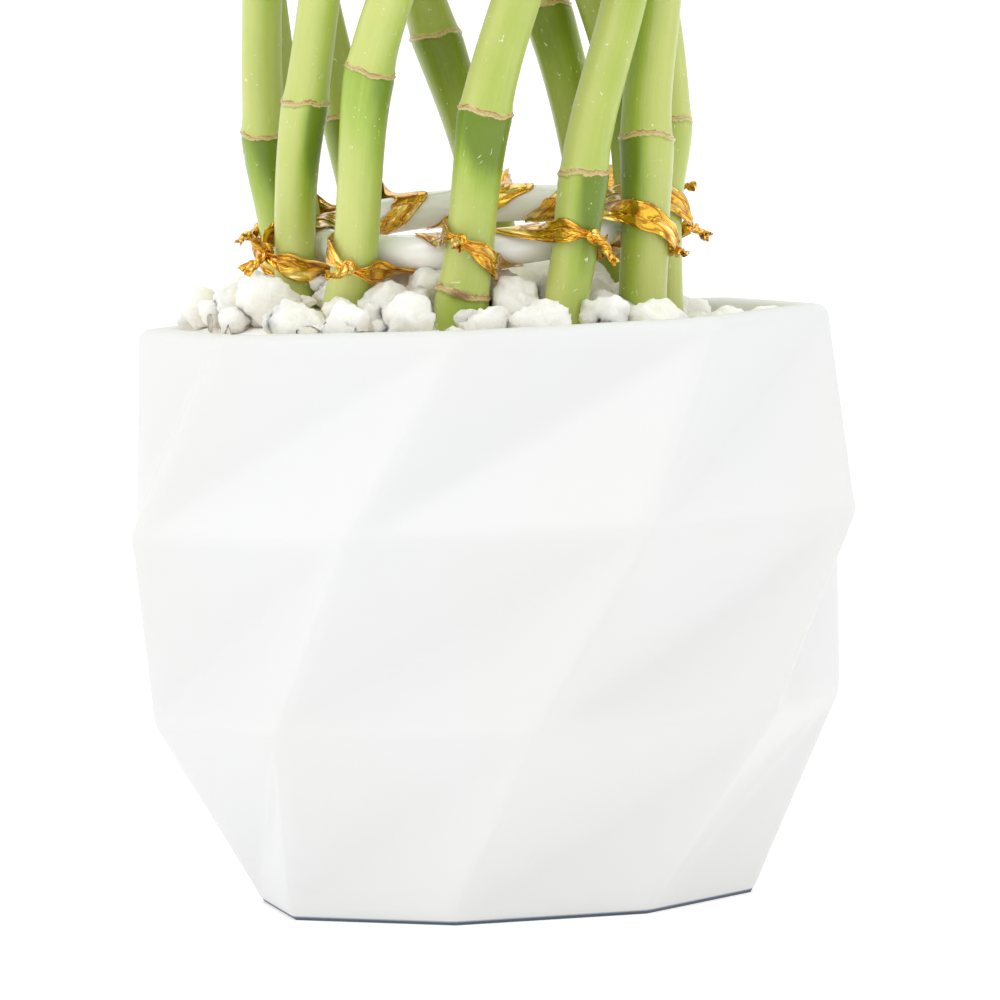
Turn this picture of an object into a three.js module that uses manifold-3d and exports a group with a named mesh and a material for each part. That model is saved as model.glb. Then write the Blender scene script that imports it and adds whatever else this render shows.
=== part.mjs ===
// Lucky bamboo: twelve canes twisted into an open cage round two plastic hoops, tied with gold foil twist
// ties, with a leafy shoot at the top of each cane, standing in quartz gravel in a faceted white ceramic pot.
// Millimetres, +Z up, origin at the centre of the pot's base. A "turn" is an angle in degrees round the
// pot's axis, measured from the front (-Y) towards the right (+X). A range is a lowest and a highest value.
import * as THREE from "three";
import { mergeVertices } from "three/addons/utils/BufferGeometryUtils.js";
import Module from "manifold-3d";

const wasm = await Module();
wasm.setup();

// Air kept between neighbouring pieces.
const CLEARANCE = 0.3;

// Pot: eight-sided rings, each turned a little further than the one below it.
const POT_SIDES = 8;
const POT_HEIGHT = 112.5;
const BAND_HEIGHT = 37;
const BASE_RADIUS = 49.5;
const SHOULDER_RADIUS = 67.2;
const BELLY_RADIUS = 75;
const BASE_TURN = -56.7;
const TWIST_PER_BAND = 17.7;
const WALL = 7.5;
const FLOOR = 8;
const EDGE = 1.5;

// Gravel: a filling with a low mound, covered by stones. LOW_SIDE is how much lower it lies on the right.
const GRAVEL_EDGE = 105;
const MOUND_X = -12;
const MOUND_HEIGHT = 10;
const MOUND_SPREAD = 46;
const MOUND_TILT = -0.03;
const LOW_SIDE = 2.6;
const LOW_SIDE_RANGE = [18, 50];
const STONE_PITCH = 13.4;
const STONE_RADIUS = 6.4;
const STONE_LENGTH_RANGE = [0.85, 1.15];
const STONE_WIDTH_RANGE = [0.75, 1];
const STONE_HEIGHT_RANGE = [0.65, 0.95];
const STONE_SPIN_RANGE = [0, 6];
const STONE_LIFT_RANGE = [0, 2.5];
const STONE_DEPTH = 2.5;
const STONE_SHIFT = 2.4;

// Hoops: round plastic tube, the lower one tied in askew.
const HOOP_RADIUS = 28.8;
const TUBE_RADIUS = 3.55;
const TUBE_SIDES = 8;
const HOOP_STEPS = 36;
const LOWER_HOOP = { height: 129.5, backRise: 6.8, rightRise: 2.3 };
const UPPER_HOOP = { height: 290, backRise: -2, rightRise: -1.5 };

// Canes: node rings, internodes and the cage they make. WAIST and FLARE are shares of a cane's half
// thickness: how much it narrows between two node rings and widens under the upper one.
const CAGE_X = -1.5;
const CAGE_RADIUS = 39;
const CAGE_HEIGHTS = [185, 235];
const CANE_SIDES = 8;
const CANE_FOOT = 28;
const FOOT_TUCK = 1;
const SURFACE = 113;
const SURFACE_TUCK = 0.4;
const SIGHT_HEIGHT = 173;
const WAIST = 0.06;
const FLARE = 0.1;
const TOP_NODE = 300;
const TOP_NODE_SWING = 6;
const TOP_NODE_PHASE = 40;
const CANE_STUB = 9;
const INTERNODE = 48;
const RING_RISE = 0.45;
const RING_HALF = 1.1;
const STATION_ROOM = 6;
const TOP_TURN = 72;
const TURN_STEP = 30;

// Foil ties: a band on the slant, a knot on it, and twisted tails that widen towards their ends.
const TIE_WIDTH = 4.4;
const TIE_THICKNESS = 0.6;
const UPPER_TIE_SLANT = 34;
const TIE_ROOM = 0.4;
const TIE_SLACK = 0.4;
const KNOT_HALVES = [2.2, 1.6, 2.2];
const KNOT_OUT = 1.6;
const TAIL = { root: 0.9, end: 1.6, length: 7.5, sides: 4 };

// Shoots and their leaves. SHOOT_SINK is how far a stalk's foot would reach into its cane, before it is cut
// to lie round it. Each level is one leaf of every shoot: the way it points from the outward direction, how
// far it rises and then drops, how far it reaches, and half its width.
const LEAF_THICKNESS = 1.2;
const LEAF_FOLD = 0.25;
const SHOOT_RADIUS = 2.5;
const SHOOT_SINK = 0.6;
const SHOOT_LENGTH = 62;
const STALK_SIDES = 6;
const STALK_RADII = [0, 2, 2.5, 2, 1.2, 0];
const STALK_RISES = [0, 0.5, 8, 40, 56, 70];
const SHOOT_LEAN = 7;
const FIRST_LEAF = 9;
const LEAF_PITCH = 6;
const LEAF_SWING = 8;
const LEAF_SIZE_RANGE = [0.9, 1.1];
const LEAF_ATTEMPTS = 60;
const LEAF_ROOM = 4;
const LEAF_SIDE_ROOM = 2;
const TIP_ROOM = 0.18;
const TRAIL_POINTS = 14;
const BLADE_STATIONS = [0, 0.08, 0.28, 0.52, 0.78, 1];
const BLADE_WIDTHS = [0, 0.3, 0.8, 1, 0.66, 0];
const LEAF_LEVELS = [
  { points: 58, rise: 44, drop: 56, reach: 92, half: 8.2 },
  { points: -52, rise: 58, drop: 54, reach: 90, half: 8.6 },
  { points: 12, rise: 74, drop: 50, reach: 82, half: 8.6 },
  { points: -22, rise: 88, drop: 40, reach: 64, half: 8.4 },
  { points: 150, rise: 70, drop: 34, reach: 36, half: 7.2 },
  { points: 66, rise: 90, drop: 28, reach: 44, half: 7.6 },
  { points: -70, rise: 84, drop: 20, reach: 32, half: 7.0 },
  { points: 5, rise: 92, drop: 14, reach: 24, half: 6.4 },
  { points: -165, rise: 78, drop: 14, reach: 22, half: 5.8 },
];

// The canes, counted from the front towards the right. turns are those at the gravel, at the lower hoop, at
// the first full node and at SIGHT_HEIGHT; node is the height of that first full node ring, and lowNode that
// of a ring below it that clears the gravel.
const CANES = [
  { turns: [-4, -1, 5.5, 16], node: 152.7, lowNode: 118.5, width: 9.8 },
  { turns: [28, 32, 34, 55], node: 140.2, width: 9.0 },
  { turns: [60, 62.5, 61, 76], node: 145.8, width: 9.6 },
  { turns: [86, 90, 92, 108], node: 149, width: 8.2 },
  { turns: [112, 118, 127, 139], node: 154, width: 8.6 },
  { turns: [134, 140, 155, 156], node: 170.8, lowNode: 122, width: 9.2 },
  { turns: [171, 175, 188, 191], node: 166.4, lowNode: 120, width: 9.4 },
  { turns: [212, 215, 218, 224], node: 151.4, width: 8.4 },
  { turns: [240, 243, 249, 255], node: 156, lowNode: 114, width: 8.6 },
  { turns: [267, 270, 272, 282], node: 149.3, width: 8.0 },
  { turns: [290, 293, 309, 315], node: 155.5, width: 8.2 },
  { turns: [318, 323, 333, 340], node: 161, lowNode: 115.3, width: 9.0 },
];

// How the lower tie of each cane is tied, in the same order: slant is its angle to the hoop, lift is how far
// it climbs the cane for each millimetre outwards, knot is the turn of its knot round the cane, from the
// outward direction, and tails are the heading and the rise of each tail. The upper ties are the mirror
// image, all at one slant and with no lift.
const TIES = [
  { slant: 34, lift: 0.24, knot: -22, tails: [[-2, 5]] },
  { slant: 26, lift: 0.16, knot: -4, tails: [[6, -30]] },
  { slant: 40, lift: -0.1, knot: 64, tails: [[-38, -10]] },
  { slant: 48, lift: -0.1, knot: 30, tails: [[46, -20]] },
  { slant: 34, lift: 0, knot: -32, tails: [[-40, 12]] },
  { slant: 38, lift: 0, knot: 25, tails: [[38, -20]] },
  { slant: 30, lift: 0.1, knot: -28, tails: [[-12, -30]] },
  { slant: 36, lift: 0, knot: 35, tails: [[24, 8]] },
  { slant: 32, lift: 0.1, knot: -20, tails: [[-34, -15]] },
  { slant: 36, lift: 0, knot: -42, tails: [[-50, -28]] },
  { slant: 34, lift: 0.1, knot: -4, tails: [[34, 25], [16, -30]] },
  { slant: 28, lift: 0.1, knot: 28, tails: [[4, -5]] },
];

const radians = THREE.MathUtils.degToRad;
const polar = (radius, turn, z) =>
  new THREE.Vector3(radius * Math.sin(radians(turn)), -radius * Math.cos(radians(turn)), z);

// A scattered number from 0 to 1, always the same for the same seed.
function scatter(seed) {
  const wave = Math.sin(seed * 12.9898 + 78.233) * 43758.5453;
  return wave - Math.floor(wave);
}

const scatterIn = ([low, high], seed) => low + (high - low) * scatter(seed);

// Moves every vertex of a geometry by a rule.
function reshape(geometry, rule) {
  const position = geometry.getAttribute("position");
  const point = new THREE.Vector3();
  for (let i = 0; i < position.count; i++) {
    point.fromBufferAttribute(position, i);
    position.setXYZ(i, ...rule(point));
  }
  return geometry;
}

// A fresh closed geometry with its shared vertices merged, before anything moves them apart.
function welded(geometry) {
  const bare = new THREE.BufferGeometry();
  bare.setAttribute("position", geometry.getAttribute("position"));
  bare.setIndex(geometry.index);
  return mergeVertices(bare, 1e-4);
}

// A welded geometry as a solid that can be joined and cut.
function solid(geometry) {
  const corners = geometry.index.array;
  const triVerts = [];
  for (let i = 0; i < corners.length; i += 3) {
    const [a, b, c] = corners.subarray(i, i + 3);
    if (a !== b && b !== c && c !== a) triVerts.push(a, b, c);
  }
  const vertProperties = geometry.getAttribute("position").array;
  return new wasm.Manifold(
    new wasm.Mesh({ numProp: 3, vertProperties, triVerts: new Uint32Array(triVerts) }),
  );
}

// A solid through sections of four corners each. splits says which way each of the four faces between two
// sections is split, so that the two wide faces of a thin piece are split alike. A section of one corner
// closes an end, and a ring joins its last section to its first.
function ribbon(sections, splits, ring = false) {
  const starts = [];
  const positions = [];
  for (const section of sections) {
    starts.push(positions.length / 3);
    for (const place of section) positions.push(...place);
  }
  const corner = (row, k) => starts[row] + (sections[row].length === 1 ? 0 : k % 4);
  const index = [];
  sections.forEach((section, row) => {
    const far = (row + 1) % sections.length;
    if (far === 0 && !ring) return;
    for (let k = 0; k < 4; k++) {
      const [a, b] = [corner(row, k), corner(row, k + 1)];
      const [aFar, bFar] = [corner(far, k), corner(far, k + 1)];
      if (splits[k] === 0) index.push(a, b, bFar, a, bFar, aFar);
      else index.push(a, b, aFar, b, bFar, aFar);
    }
  });
  const geometry = new THREE.BufferGeometry();
  geometry.setAttribute("position", new THREE.Float32BufferAttribute(positions, 3));
  geometry.setIndex(index);
  return solid(geometry);
}

function geometryOf(shape) {
  const mesh = shape.getMesh();
  const geometry = new THREE.BufferGeometry();
  geometry.setAttribute("position", new THREE.BufferAttribute(new Float32Array(mesh.vertProperties), 3));
  geometry.setIndex(new THREE.BufferAttribute(new Uint32Array(mesh.triVerts), 1));
  geometry.computeVertexNormals();
  return geometry;
}

const joined = (shapes) => shapes.reduce((whole, shape) => whole.add(shape));

// The largest body of a shape, without the loose scraps that cutting leaves.
const largest = (shape) =>
  shape.decompose().reduce((best, body) => (body.volume() > best.volume() ? body : best));

// A smooth curve through values given at rising heights, which never swings past them.
function between(heights, values, z) {
  const last = heights.length - 2;
  const secant = (k) => (values[k + 1] - values[k]) / (heights[k + 1] - heights[k]);
  const slope = (k) => {
    const before = secant(Math.max(k - 1, 0));
    const after = secant(Math.min(k, last));
    return before * after > 0 ? (2 * before * after) / (before + after) : 0;
  };
  const i = Math.min(Math.max(heights.findLastIndex((height) => height <= z), 0), last);
  const span = heights[i + 1] - heights[i];
  const t = (z - heights[i]) / span;
  const start = values[i] * (2 * t ** 3 - 3 * t ** 2 + 1) + slope(i) * span * (t ** 3 - 2 * t ** 2 + t);
  return start + values[i + 1] * (3 * t ** 2 - 2 * t ** 3) + slope(i + 1) * span * (t ** 3 - t ** 2);
}

// Pot

// A closed stack of eight-sided rings. A ring's z may be a rule of x and y.
function ringStack(rings) {
  const bands = rings.length - 1;
  const geometry = welded(new THREE.CylinderGeometry(1, 1, bands, POT_SIDES, bands)).rotateX(Math.PI / 2);
  return reshape(geometry, (point) => {
    const ring = rings[Math.round(point.z + bands / 2)];
    const radius = Math.hypot(point.x, point.y) < 0.5 ? 0 : ring.radius;
    const turn = THREE.MathUtils.radToDeg(Math.atan2(point.x, -point.y)) + ring.turn;
    const place = polar(radius, turn, 0);
    place.z = typeof ring.z === "number" ? ring.z : ring.z(place.x, place.y);
    return place;
  });
}

// The pot's outline at a height: between its four main rings, sides run straight.
function potRing(z, inset = 0) {
  const radii = [BASE_RADIUS, SHOULDER_RADIUS, BELLY_RADIUS, SHOULDER_RADIUS];
  const band = Math.min(Math.max(z / BAND_HEIGHT, 0), radii.length - 1);
  const below = Math.min(Math.floor(band), radii.length - 2);
  const radius = THREE.MathUtils.lerp(radii[below], radii[below + 1], band - below);
  return { z, radius: radius - inset, turn: BASE_TURN + TWIST_PER_BAND * band };
}

// The pot's hollow, drawn in by a clearance and open upwards.
function cavity(clearance) {
  const inset = WALL + clearance;
  const mouth = potRing(POT_HEIGHT, inset - EDGE / 2);
  const rings = [
    potRing(FLOOR + clearance, inset),
    potRing(BAND_HEIGHT, inset),
    potRing(2 * BAND_HEIGHT, inset),
    { ...potRing(POT_HEIGHT, inset), z: POT_HEIGHT - EDGE },
    mouth,
    { ...mouth, z: POT_HEIGHT + 3 * WALL },
  ];
  return solid(ringStack(rings));
}

function pot() {
  const foot = { ...potRing(0, EDGE), z: 0 };
  const aboveFoot = { ...potRing(0), z: EDGE };
  const underRim = { ...potRing(POT_HEIGHT), z: POT_HEIGHT - EDGE };
  const rim = potRing(POT_HEIGHT, EDGE);
  const outside = [foot, aboveFoot, potRing(BAND_HEIGHT), potRing(2 * BAND_HEIGHT), underRim, rim];
  return solid(ringStack(outside)).subtract(cavity(0));
}

// Canes

function caneNodes(cane, index) {
  const top = TOP_NODE + TOP_NODE_SWING * Math.sin(radians(2 * TURN_STEP * index + TOP_NODE_PHASE));
  const count = Math.round((top - cane.node) / INTERNODE);
  const above = Array.from({ length: count }, (_, k) => cane.node + ((k + 1) * (top - cane.node)) / count);
  return [...(cane.lowNode ? [cane.lowNode] : []), cane.node, ...above];
}

// A hoop's own axis, from how far its back and its right side rise.
const hoopTilt = (hoop) => new THREE.Euler(radians(hoop.backRise), -radians(hoop.rightRise), 0);
const hoopAxis = (hoop) => new THREE.Vector3(0, 0, 1).applyEuler(hoopTilt(hoop));

// Where a cane leans on a hoop at a turn: the point on its middle line, the way out of the hoop, and the
// tube's own direction.
function perch(cane, hoop, turn) {
  const axis = hoopAxis(hoop);
  const outward = polar(1, turn, 0);
  outward.addScaledVector(axis, -outward.dot(axis)).normalize();
  const along = new THREE.Vector3().crossVectors(axis, outward);
  const reach = HOOP_RADIUS + TUBE_RADIUS + CLEARANCE + cane.width / 2;
  const point = outward.clone().multiplyScalar(reach);
  point.z += hoop.height;
  return { point, outward, along, axis, radius: Math.hypot(point.x, point.y) };
}

const topTurnOf = (index) => TOP_TURN + TURN_STEP * index;

// The cane's middle line at a height.
function caneLine(cane, index, z) {
  const lower = perch(cane, LOWER_HOOP, cane.turns[1]);
  const upper = perch(cane, UPPER_HOOP, topTurnOf(index));
  const high = upper.point.z;
  const heights = [CANE_FOOT, SURFACE, lower.point.z, cane.node, ...CAGE_HEIGHTS, high, high + INTERNODE];
  const climb = (topTurnOf(index) - cane.turns[3]) / (high - SIGHT_HEIGHT);
  const turnAt = (height) => cane.turns[3] + climb * (height - SIGHT_HEIGHT);
  const turns = [cane.turns[0], ...cane.turns.slice(0, 3), ...heights.slice(4).map(turnAt)];
  const standing = [lower.radius - FOOT_TUCK, lower.radius - SURFACE_TUCK, lower.radius];
  const radii = [...standing, CAGE_RADIUS, CAGE_RADIUS, CAGE_RADIUS, upper.radius, upper.radius];
  const place = polar(between(heights, radii, z), between(heights, turns, z), z);
  place.x += CAGE_X;
  return place;
}

// Half the cane's thickness at a height: widest under each node ring.
function caneRadius(cane, nodes, z) {
  const below = nodes.findLast((node) => node <= z) ?? nodes[0] - INTERNODE;
  const above = nodes.find((node) => node > z) ?? below + INTERNODE;
  const along = THREE.MathUtils.clamp((z - below) / (above - below), 0, 1);
  return (cane.width / 2) * (1 - WAIST * Math.sin(Math.PI * along) + FLARE * along ** 4);
}

// Bends a geometry made round the Z axis along a line that rises with z.
function bend(geometry, line) {
  const step = 0.5;
  return reshape(geometry, (point) => {
    const rise = line(point.z + step).sub(line(point.z - step)).normalize();
    const back = new THREE.Vector3(0, 1, 0).addScaledVector(rise, -rise.y).normalize();
    const side = new THREE.Vector3().crossVectors(back, rise);
    return line(point.z).addScaledVector(side, point.x).addScaledVector(back, point.y);
  });
}

// A cane, or with grow the room that it takes up.
function caneSolid(cane, index, grow = 0) {
  const nodes = caneNodes(cane, index);
  const end = nodes.at(-1) + CANE_STUB + grow;
  const lower = perch(cane, LOWER_HOOP, cane.turns[1]).point.z;
  const upper = perch(cane, UPPER_HOOP, topTurnOf(index)).point.z;
  const tied = [lower, lower + TIE_WIDTH, upper];
  const middles = nodes.slice(1).map((node, k) => (nodes[k] + node) / 2);
  const clearOfTies = (z) => tied.every((height) => Math.abs(height - z) > STATION_ROOM);
  const rings = nodes.flatMap((node) => [node - RING_HALF, node, node + RING_HALF]);
  const plain = [cane.lowNode ? [] : SURFACE, tied, middles.filter(clearOfTies)].flat();
  const stations = [CANE_FOOT - grow, ...rings, ...plain, end].sort((low, high) => low - high);
  const swell = (z) => grow + (nodes.includes(z) ? RING_RISE : 0);
  const sides = stations.map((z) => [caneRadius(cane, nodes, z) + swell(z), z]);
  const profile = [[0, stations[0]], ...sides, [0, end]];
  const points = profile.map(([radius, z]) => new THREE.Vector2(radius, z));
  const geometry = welded(new THREE.LatheGeometry(points, CANE_SIDES)).rotateX(Math.PI / 2);
  return solid(bend(geometry, (z) => caneLine(cane, index, z)));
}

// Gravel

function moundHeight(x, y) {
  const away = Math.hypot(x - MOUND_X, y) / MOUND_SPREAD;
  const drop = LOW_SIDE * THREE.MathUtils.smoothstep(x, ...LOW_SIDE_RANGE);
  return GRAVEL_EDGE + MOUND_HEIGHT * Math.exp(-(away ** 4)) + MOUND_TILT * x - drop;
}

function stone(x, y, seed) {
  const long = STONE_RADIUS * scatterIn(STONE_LENGTH_RANGE, seed);
  const wide = long * scatterIn(STONE_WIDTH_RANGE, seed + 1);
  const high = long * scatterIn(STONE_HEIGHT_RANGE, seed + 2);
  const shape = welded(new THREE.IcosahedronGeometry(1, 0)).scale(long, wide, high);
  shape.rotateX(scatterIn(STONE_SPIN_RANGE, seed + 3)).rotateZ(scatterIn(STONE_SPIN_RANGE, seed + 4));
  return solid(shape.translate(x, y, moundHeight(x, y) + scatterIn(STONE_LIFT_RANGE, seed + 5)));
}

// A prism with the mound as its top, which reaches past the pot's hollow.
function moundSolid() {
  const under = (x, y) => moundHeight(x, y) - STONE_DEPTH;
  const radii = [BELLY_RADIUS, MOUND_SPREAD, MOUND_SPREAD / 2];
  const rings = radii.map((radius) => ({ radius, turn: 0, z: under }));
  return solid(ringStack([{ radius: BELLY_RADIUS, turn: 0, z: 0 }, ...rings]));
}

function gravel() {
  const reach = potRing(GRAVEL_EDGE, WALL + STONE_RADIUS / 2).radius;
  const rowPitch = STONE_PITCH * Math.sin(radians(60));
  const rows = Math.ceil(reach / rowPitch);
  const stones = [];
  for (let row = -rows; row <= rows; row++)
    for (let column = -rows; column <= rows; column++) {
      const seed = 100 + 37 * (row + rows) + 1.7 * (column + rows);
      const x = STONE_PITCH * (column + (row % 2) / 2) + STONE_SHIFT * (scatter(seed + 8) - 0.5);
      const y = rowPitch * row + STONE_SHIFT * (scatter(seed + 9) - 0.5);
      if (Math.hypot(x, y) < reach) stones.push(stone(x, y, seed));
    }
  const bed = moundSolid().add(joined(stones)).intersect(cavity(CLEARANCE));
  const holes = CANES.map((cane, index) => caneSolid(cane, index, CLEARANCE));
  return largest(holes.reduce((rest, hole) => rest.subtract(hole), bed));
}

// Hoops

function hoopMesh(name, hoop, material) {
  const tube = new THREE.TorusGeometry(HOOP_RADIUS, TUBE_RADIUS, TUBE_SIDES, HOOP_STEPS);
  const mesh = new THREE.Mesh(tube, material);
  mesh.name = name;
  mesh.position.set(CAGE_X, 0, hoop.height);
  mesh.rotation.copy(hoopTilt(hoop));
  return mesh;
}

// Ties

// The loop that a tie makes round a cane and the tube, grown by an offset. It lies in the tie's own plane: u
// runs along the slanted band, v outwards from where cane and tube touch.
function tieLoop(caneHalf, across, outward, slant, offset) {
  const corner = radians(60);
  const cornerRoom = 1 / Math.cos(corner / 2);
  const oval = (halfU, halfV, middle, corners) =>
    corners.map(([u, v]) => [
      u * (cornerRoom * halfU + offset),
      middle + v * (cornerRoom * halfV + offset),
    ]);
  const caneSide = [0, 1, 2, 3].map((k) => [Math.cos(k * corner), Math.sin(k * corner)]);
  const tubeSide = caneSide.map(([u, v]) => [-u, -v]);
  const alongTube = TUBE_RADIUS / Math.sin(radians(slant));
  return [
    ...oval(across, outward, caneHalf + CLEARANCE / 2, caneSide),
    ...oval(alongTube, TUBE_RADIUS, -TUBE_RADIUS - CLEARANCE / 2, tubeSide),
  ].map(([u, v]) => new THREE.Vector2(u, v));
}

// A tie's band, knot and tails. lean is how far the cane runs along u and along v for each step across the
// band, and side is -1 for the mirror image.
function tieSolid(caneHalf, lean, tie, side) {
  const across = caneHalf * Math.hypot(1, lean.u) + TIE_SLACK;
  const outward = caneHalf * Math.hypot(1, lean.v) + TIE_SLACK;
  const inner = tieLoop(caneHalf, across, outward, tie.slant, TIE_ROOM);
  const outer = tieLoop(caneHalf, across, outward, tie.slant, TIE_ROOM + TIE_THICKNESS);
  const slant = radians(tie.slant);
  const climbed = (x, y, z) => {
    const w = z - tie.lift * y;
    return [x + w * lean.u, y + w * lean.v, w];
  };
  const drape = ({ x, y }, z) => {
    if (y > 0) return climbed(x, y, z);
    const u = x - z / Math.tan(slant);
    const alongHoop = u * Math.cos(slant) - z * Math.sin(slant);
    return [u, y - alongHoop ** 2 / (2 * HOOP_RADIUS), z];
  };
  const edge = TIE_WIDTH / 2;
  const sections = inner.map((place, i) => [
    drape(outer[i], -edge),
    drape(place, -edge),
    drape(place, edge),
    drape(outer[i], edge),
  ]);
  const band = ribbon(sections, [0, 0, 1, 1], true);
  const knotTurn = side * radians(tie.knot);
  const knotPlace = climbed(
    Math.sin(knotTurn) * (across + KNOT_OUT),
    caneHalf + CLEARANCE / 2 + Math.cos(knotTurn) * (outward + KNOT_OUT),
    0,
  );
  const knot = welded(new THREE.OctahedronGeometry(1, 0)).scale(...KNOT_HALVES);
  knot.rotateZ(-knotTurn).translate(...knotPlace);
  const tails = tie.tails.map(([heading, rise]) => {
    const tail = welded(new THREE.CylinderGeometry(TAIL.end, TAIL.root, TAIL.length, TAIL.sides, 1));
    tail.translate(0, TAIL.length / 2, 0);
    tail.rotateX(-radians(rise)).rotateZ(-side * radians(heading)).rotateY(slant);
    return solid(tail.translate(...knotPlace));
  });
  return joined([band, solid(knot), ...tails]);
}

// A tie in the plane that is slanted to the tube, round a cane and a hoop.
function tieMesh(name, cane, index, hoop, turn, tie, side, material) {
  const { point, outward, along, axis } = perch(cane, hoop, turn);
  point.x += CAGE_X;
  const half = caneRadius(cane, caneNodes(cane, index), point.z);
  const band = along.multiplyScalar(Math.cos(radians(tie.slant)));
  band.addScaledVector(axis, -Math.sin(radians(tie.slant)));
  const width = new THREE.Vector3().crossVectors(band, outward);
  const climb = caneLine(cane, index, point.z + 1).sub(caneLine(cane, index, point.z - 1));
  const lean = { u: climb.dot(band) / climb.dot(width), v: climb.dot(outward) / climb.dot(width) };
  const mesh = new THREE.Mesh(geometryOf(tieSolid(half, lean, tie, side)), material);
  mesh.name = name;
  mesh.applyMatrix4(new THREE.Matrix4().makeBasis(band, outward, width));
  mesh.position.copy(point).addScaledVector(outward, -half - CLEARANCE / 2);
  return mesh;
}

// Shoots

// A leaf's middle line and edges at a share of its length, in the shape of one level of a shoot.
function leafForm(base, turn, level, size) {
  const out = polar(1, turn, 0);
  const rise = (u) => (level.rise * u - level.drop * u * u) * size;
  const half = (u) => level.half * Math.max(TIP_ROOM, between(BLADE_STATIONS, BLADE_WIDTHS, u));
  const rib = (u) => base.clone().addScaledVector(out, level.reach * size * u).setZ(base.z + rise(u));
  return { out, rib, half };
}

// One blade, thickest along its rib and folded up along it.
function blade({ out, rib }, level) {
  const side = new THREE.Vector3(out.y, -out.x, 0);
  const step = 0.01;
  const sections = BLADE_STATIONS.map((u, row) => {
    const wide = level.half * BLADE_WIDTHS[row];
    if (wide === 0) return [rib(u)];
    const forward = rib(u + step).sub(rib(u - step)).normalize();
    const up = new THREE.Vector3().crossVectors(side, forward);
    const [half, fold] = [LEAF_THICKNESS / 2, LEAF_FOLD * wide];
    const corners = [[0, half], [wide, fold], [0, -half], [-wide, fold]];
    return corners.map(([x, lift]) => rib(u).addScaledVector(side, x).addScaledVector(up, lift));
  });
  return ribbon(sections, [0, 1, 0, 1]);
}

// Points along a leaf or a stalk, each with the half width there, which others keep clear of.
function trail(line, half, from, to) {
  const steps = Array.from({ length: TRAIL_POINTS }, (_, i) => i / (TRAIL_POINTS - 1));
  return steps.map((step) => {
    const u = from + (to - from) * step;
    return { place: line(u), half: half(u) };
  });
}

// Whether one trail passes wholly over or wholly under another wherever they are near in plan.
function passes(one, other) {
  let order = 0;
  for (const a of one)
    for (const b of other) {
      const apart = Math.hypot(a.place.x - b.place.x, a.place.y - b.place.y);
      if (apart > a.half + b.half + LEAF_SIDE_ROOM) continue;
      const rise = a.place.z - b.place.z;
      if (Math.abs(rise) < LEAF_ROOM || rise * order < 0) return false;
      order = rise;
    }
  return true;
}

// Each cane's shoot: its stalk's line and its leaves, every leaf turned and sized so that it passes clear of
// the leaves and stalks of the other shoots.
function growShoots() {
  const shoots = CANES.map((cane, index) => {
    const nodes = caneNodes(cane, index);
    const foot = nodes.at(-1);
    const away = caneRadius(cane, nodes, foot) + SHOOT_RADIUS - SHOOT_SINK;
    const start = caneLine(cane, index, foot);
    const turn = THREE.MathUtils.radToDeg(Math.atan2(start.x - CAGE_X, -start.y));
    const line = (z) => {
      const grown = (z - foot) / SHOOT_LENGTH;
      return start.clone().addScaledVector(polar(1, turn, 0), away + SHOOT_LEAN * grown * grown).setZ(z);
    };
    const stalk = trail(line, () => SHOOT_RADIUS, foot, foot + SHOOT_LENGTH);
    return { index, foot, turn, line, stalk, leaves: [] };
  });
  LEAF_LEVELS.forEach((level, k) => {
    for (const shoot of shoots) {
      const others = shoots.filter((other) => other !== shoot);
      const base = shoot.line(shoot.foot + FIRST_LEAF + LEAF_PITCH * k);
      for (let attempt = 0; attempt < LEAF_ATTEMPTS; attempt++) {
        const seed = 50 * shoot.index + 11 * k + 3.7 * attempt;
        const swing = (LEAF_SWING + attempt) * (2 * scatter(seed + 1) - 1);
        const size = scatterIn(LEAF_SIZE_RANGE, seed) * (1 - attempt / LEAF_ATTEMPTS / 2);
        const form = leafForm(base, shoot.turn + level.points + swing, level, size);
        const leaf = { form, level, trail: trail(form.rib, form.half, 0, 1) };
        const clear = others
          .flatMap((other) => [other.stalk, ...other.leaves.map((grown) => grown.trail)])
          .every((theirs) => passes(leaf.trail, theirs));
        if (clear) {
          shoot.leaves.push(leaf);
          break;
        }
      }
    }
  });
  return shoots;
}

// A shoot, seated on the side of its cane, whose room is cut out of it.
function shootSolid({ foot, line, leaves }, caneRoom) {
  const points = STALK_RADII.map((radius, k) => new THREE.Vector2(radius, foot + STALK_RISES[k]));
  const upright = welded(new THREE.LatheGeometry(points, STALK_SIDES)).rotateX(Math.PI / 2);
  const stalk = largest(solid(bend(upright, line)).subtract(caneRoom));
  return joined([stalk, ...leaves.map(({ form, level }) => blade(form, level))]);
}

// The whole plant

const glaze = new THREE.MeshStandardMaterial({ color: 0xf3f4f3, roughness: 0.25, metalness: 0 });
const quartz = new THREE.MeshStandardMaterial({ color: 0xe9e5dc, roughness: 0.55, metalness: 0 });
const caneGreen = new THREE.MeshStandardMaterial({ color: 0xa9c765, roughness: 0.45, metalness: 0 });
const leafGreen = new THREE.MeshStandardMaterial({ color: 0x4f9438, roughness: 0.4, metalness: 0 });
const whitePlastic = new THREE.MeshStandardMaterial({ color: 0xf1f2ee, roughness: 0.2, metalness: 0 });
const goldFoil = new THREE.MeshStandardMaterial({ color: 0xd99a1c, roughness: 0.2, metalness: 1 });

function named(name, shape, material) {
  const mesh = new THREE.Mesh(geometryOf(shape), material);
  mesh.name = name;
  return mesh;
}

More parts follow.
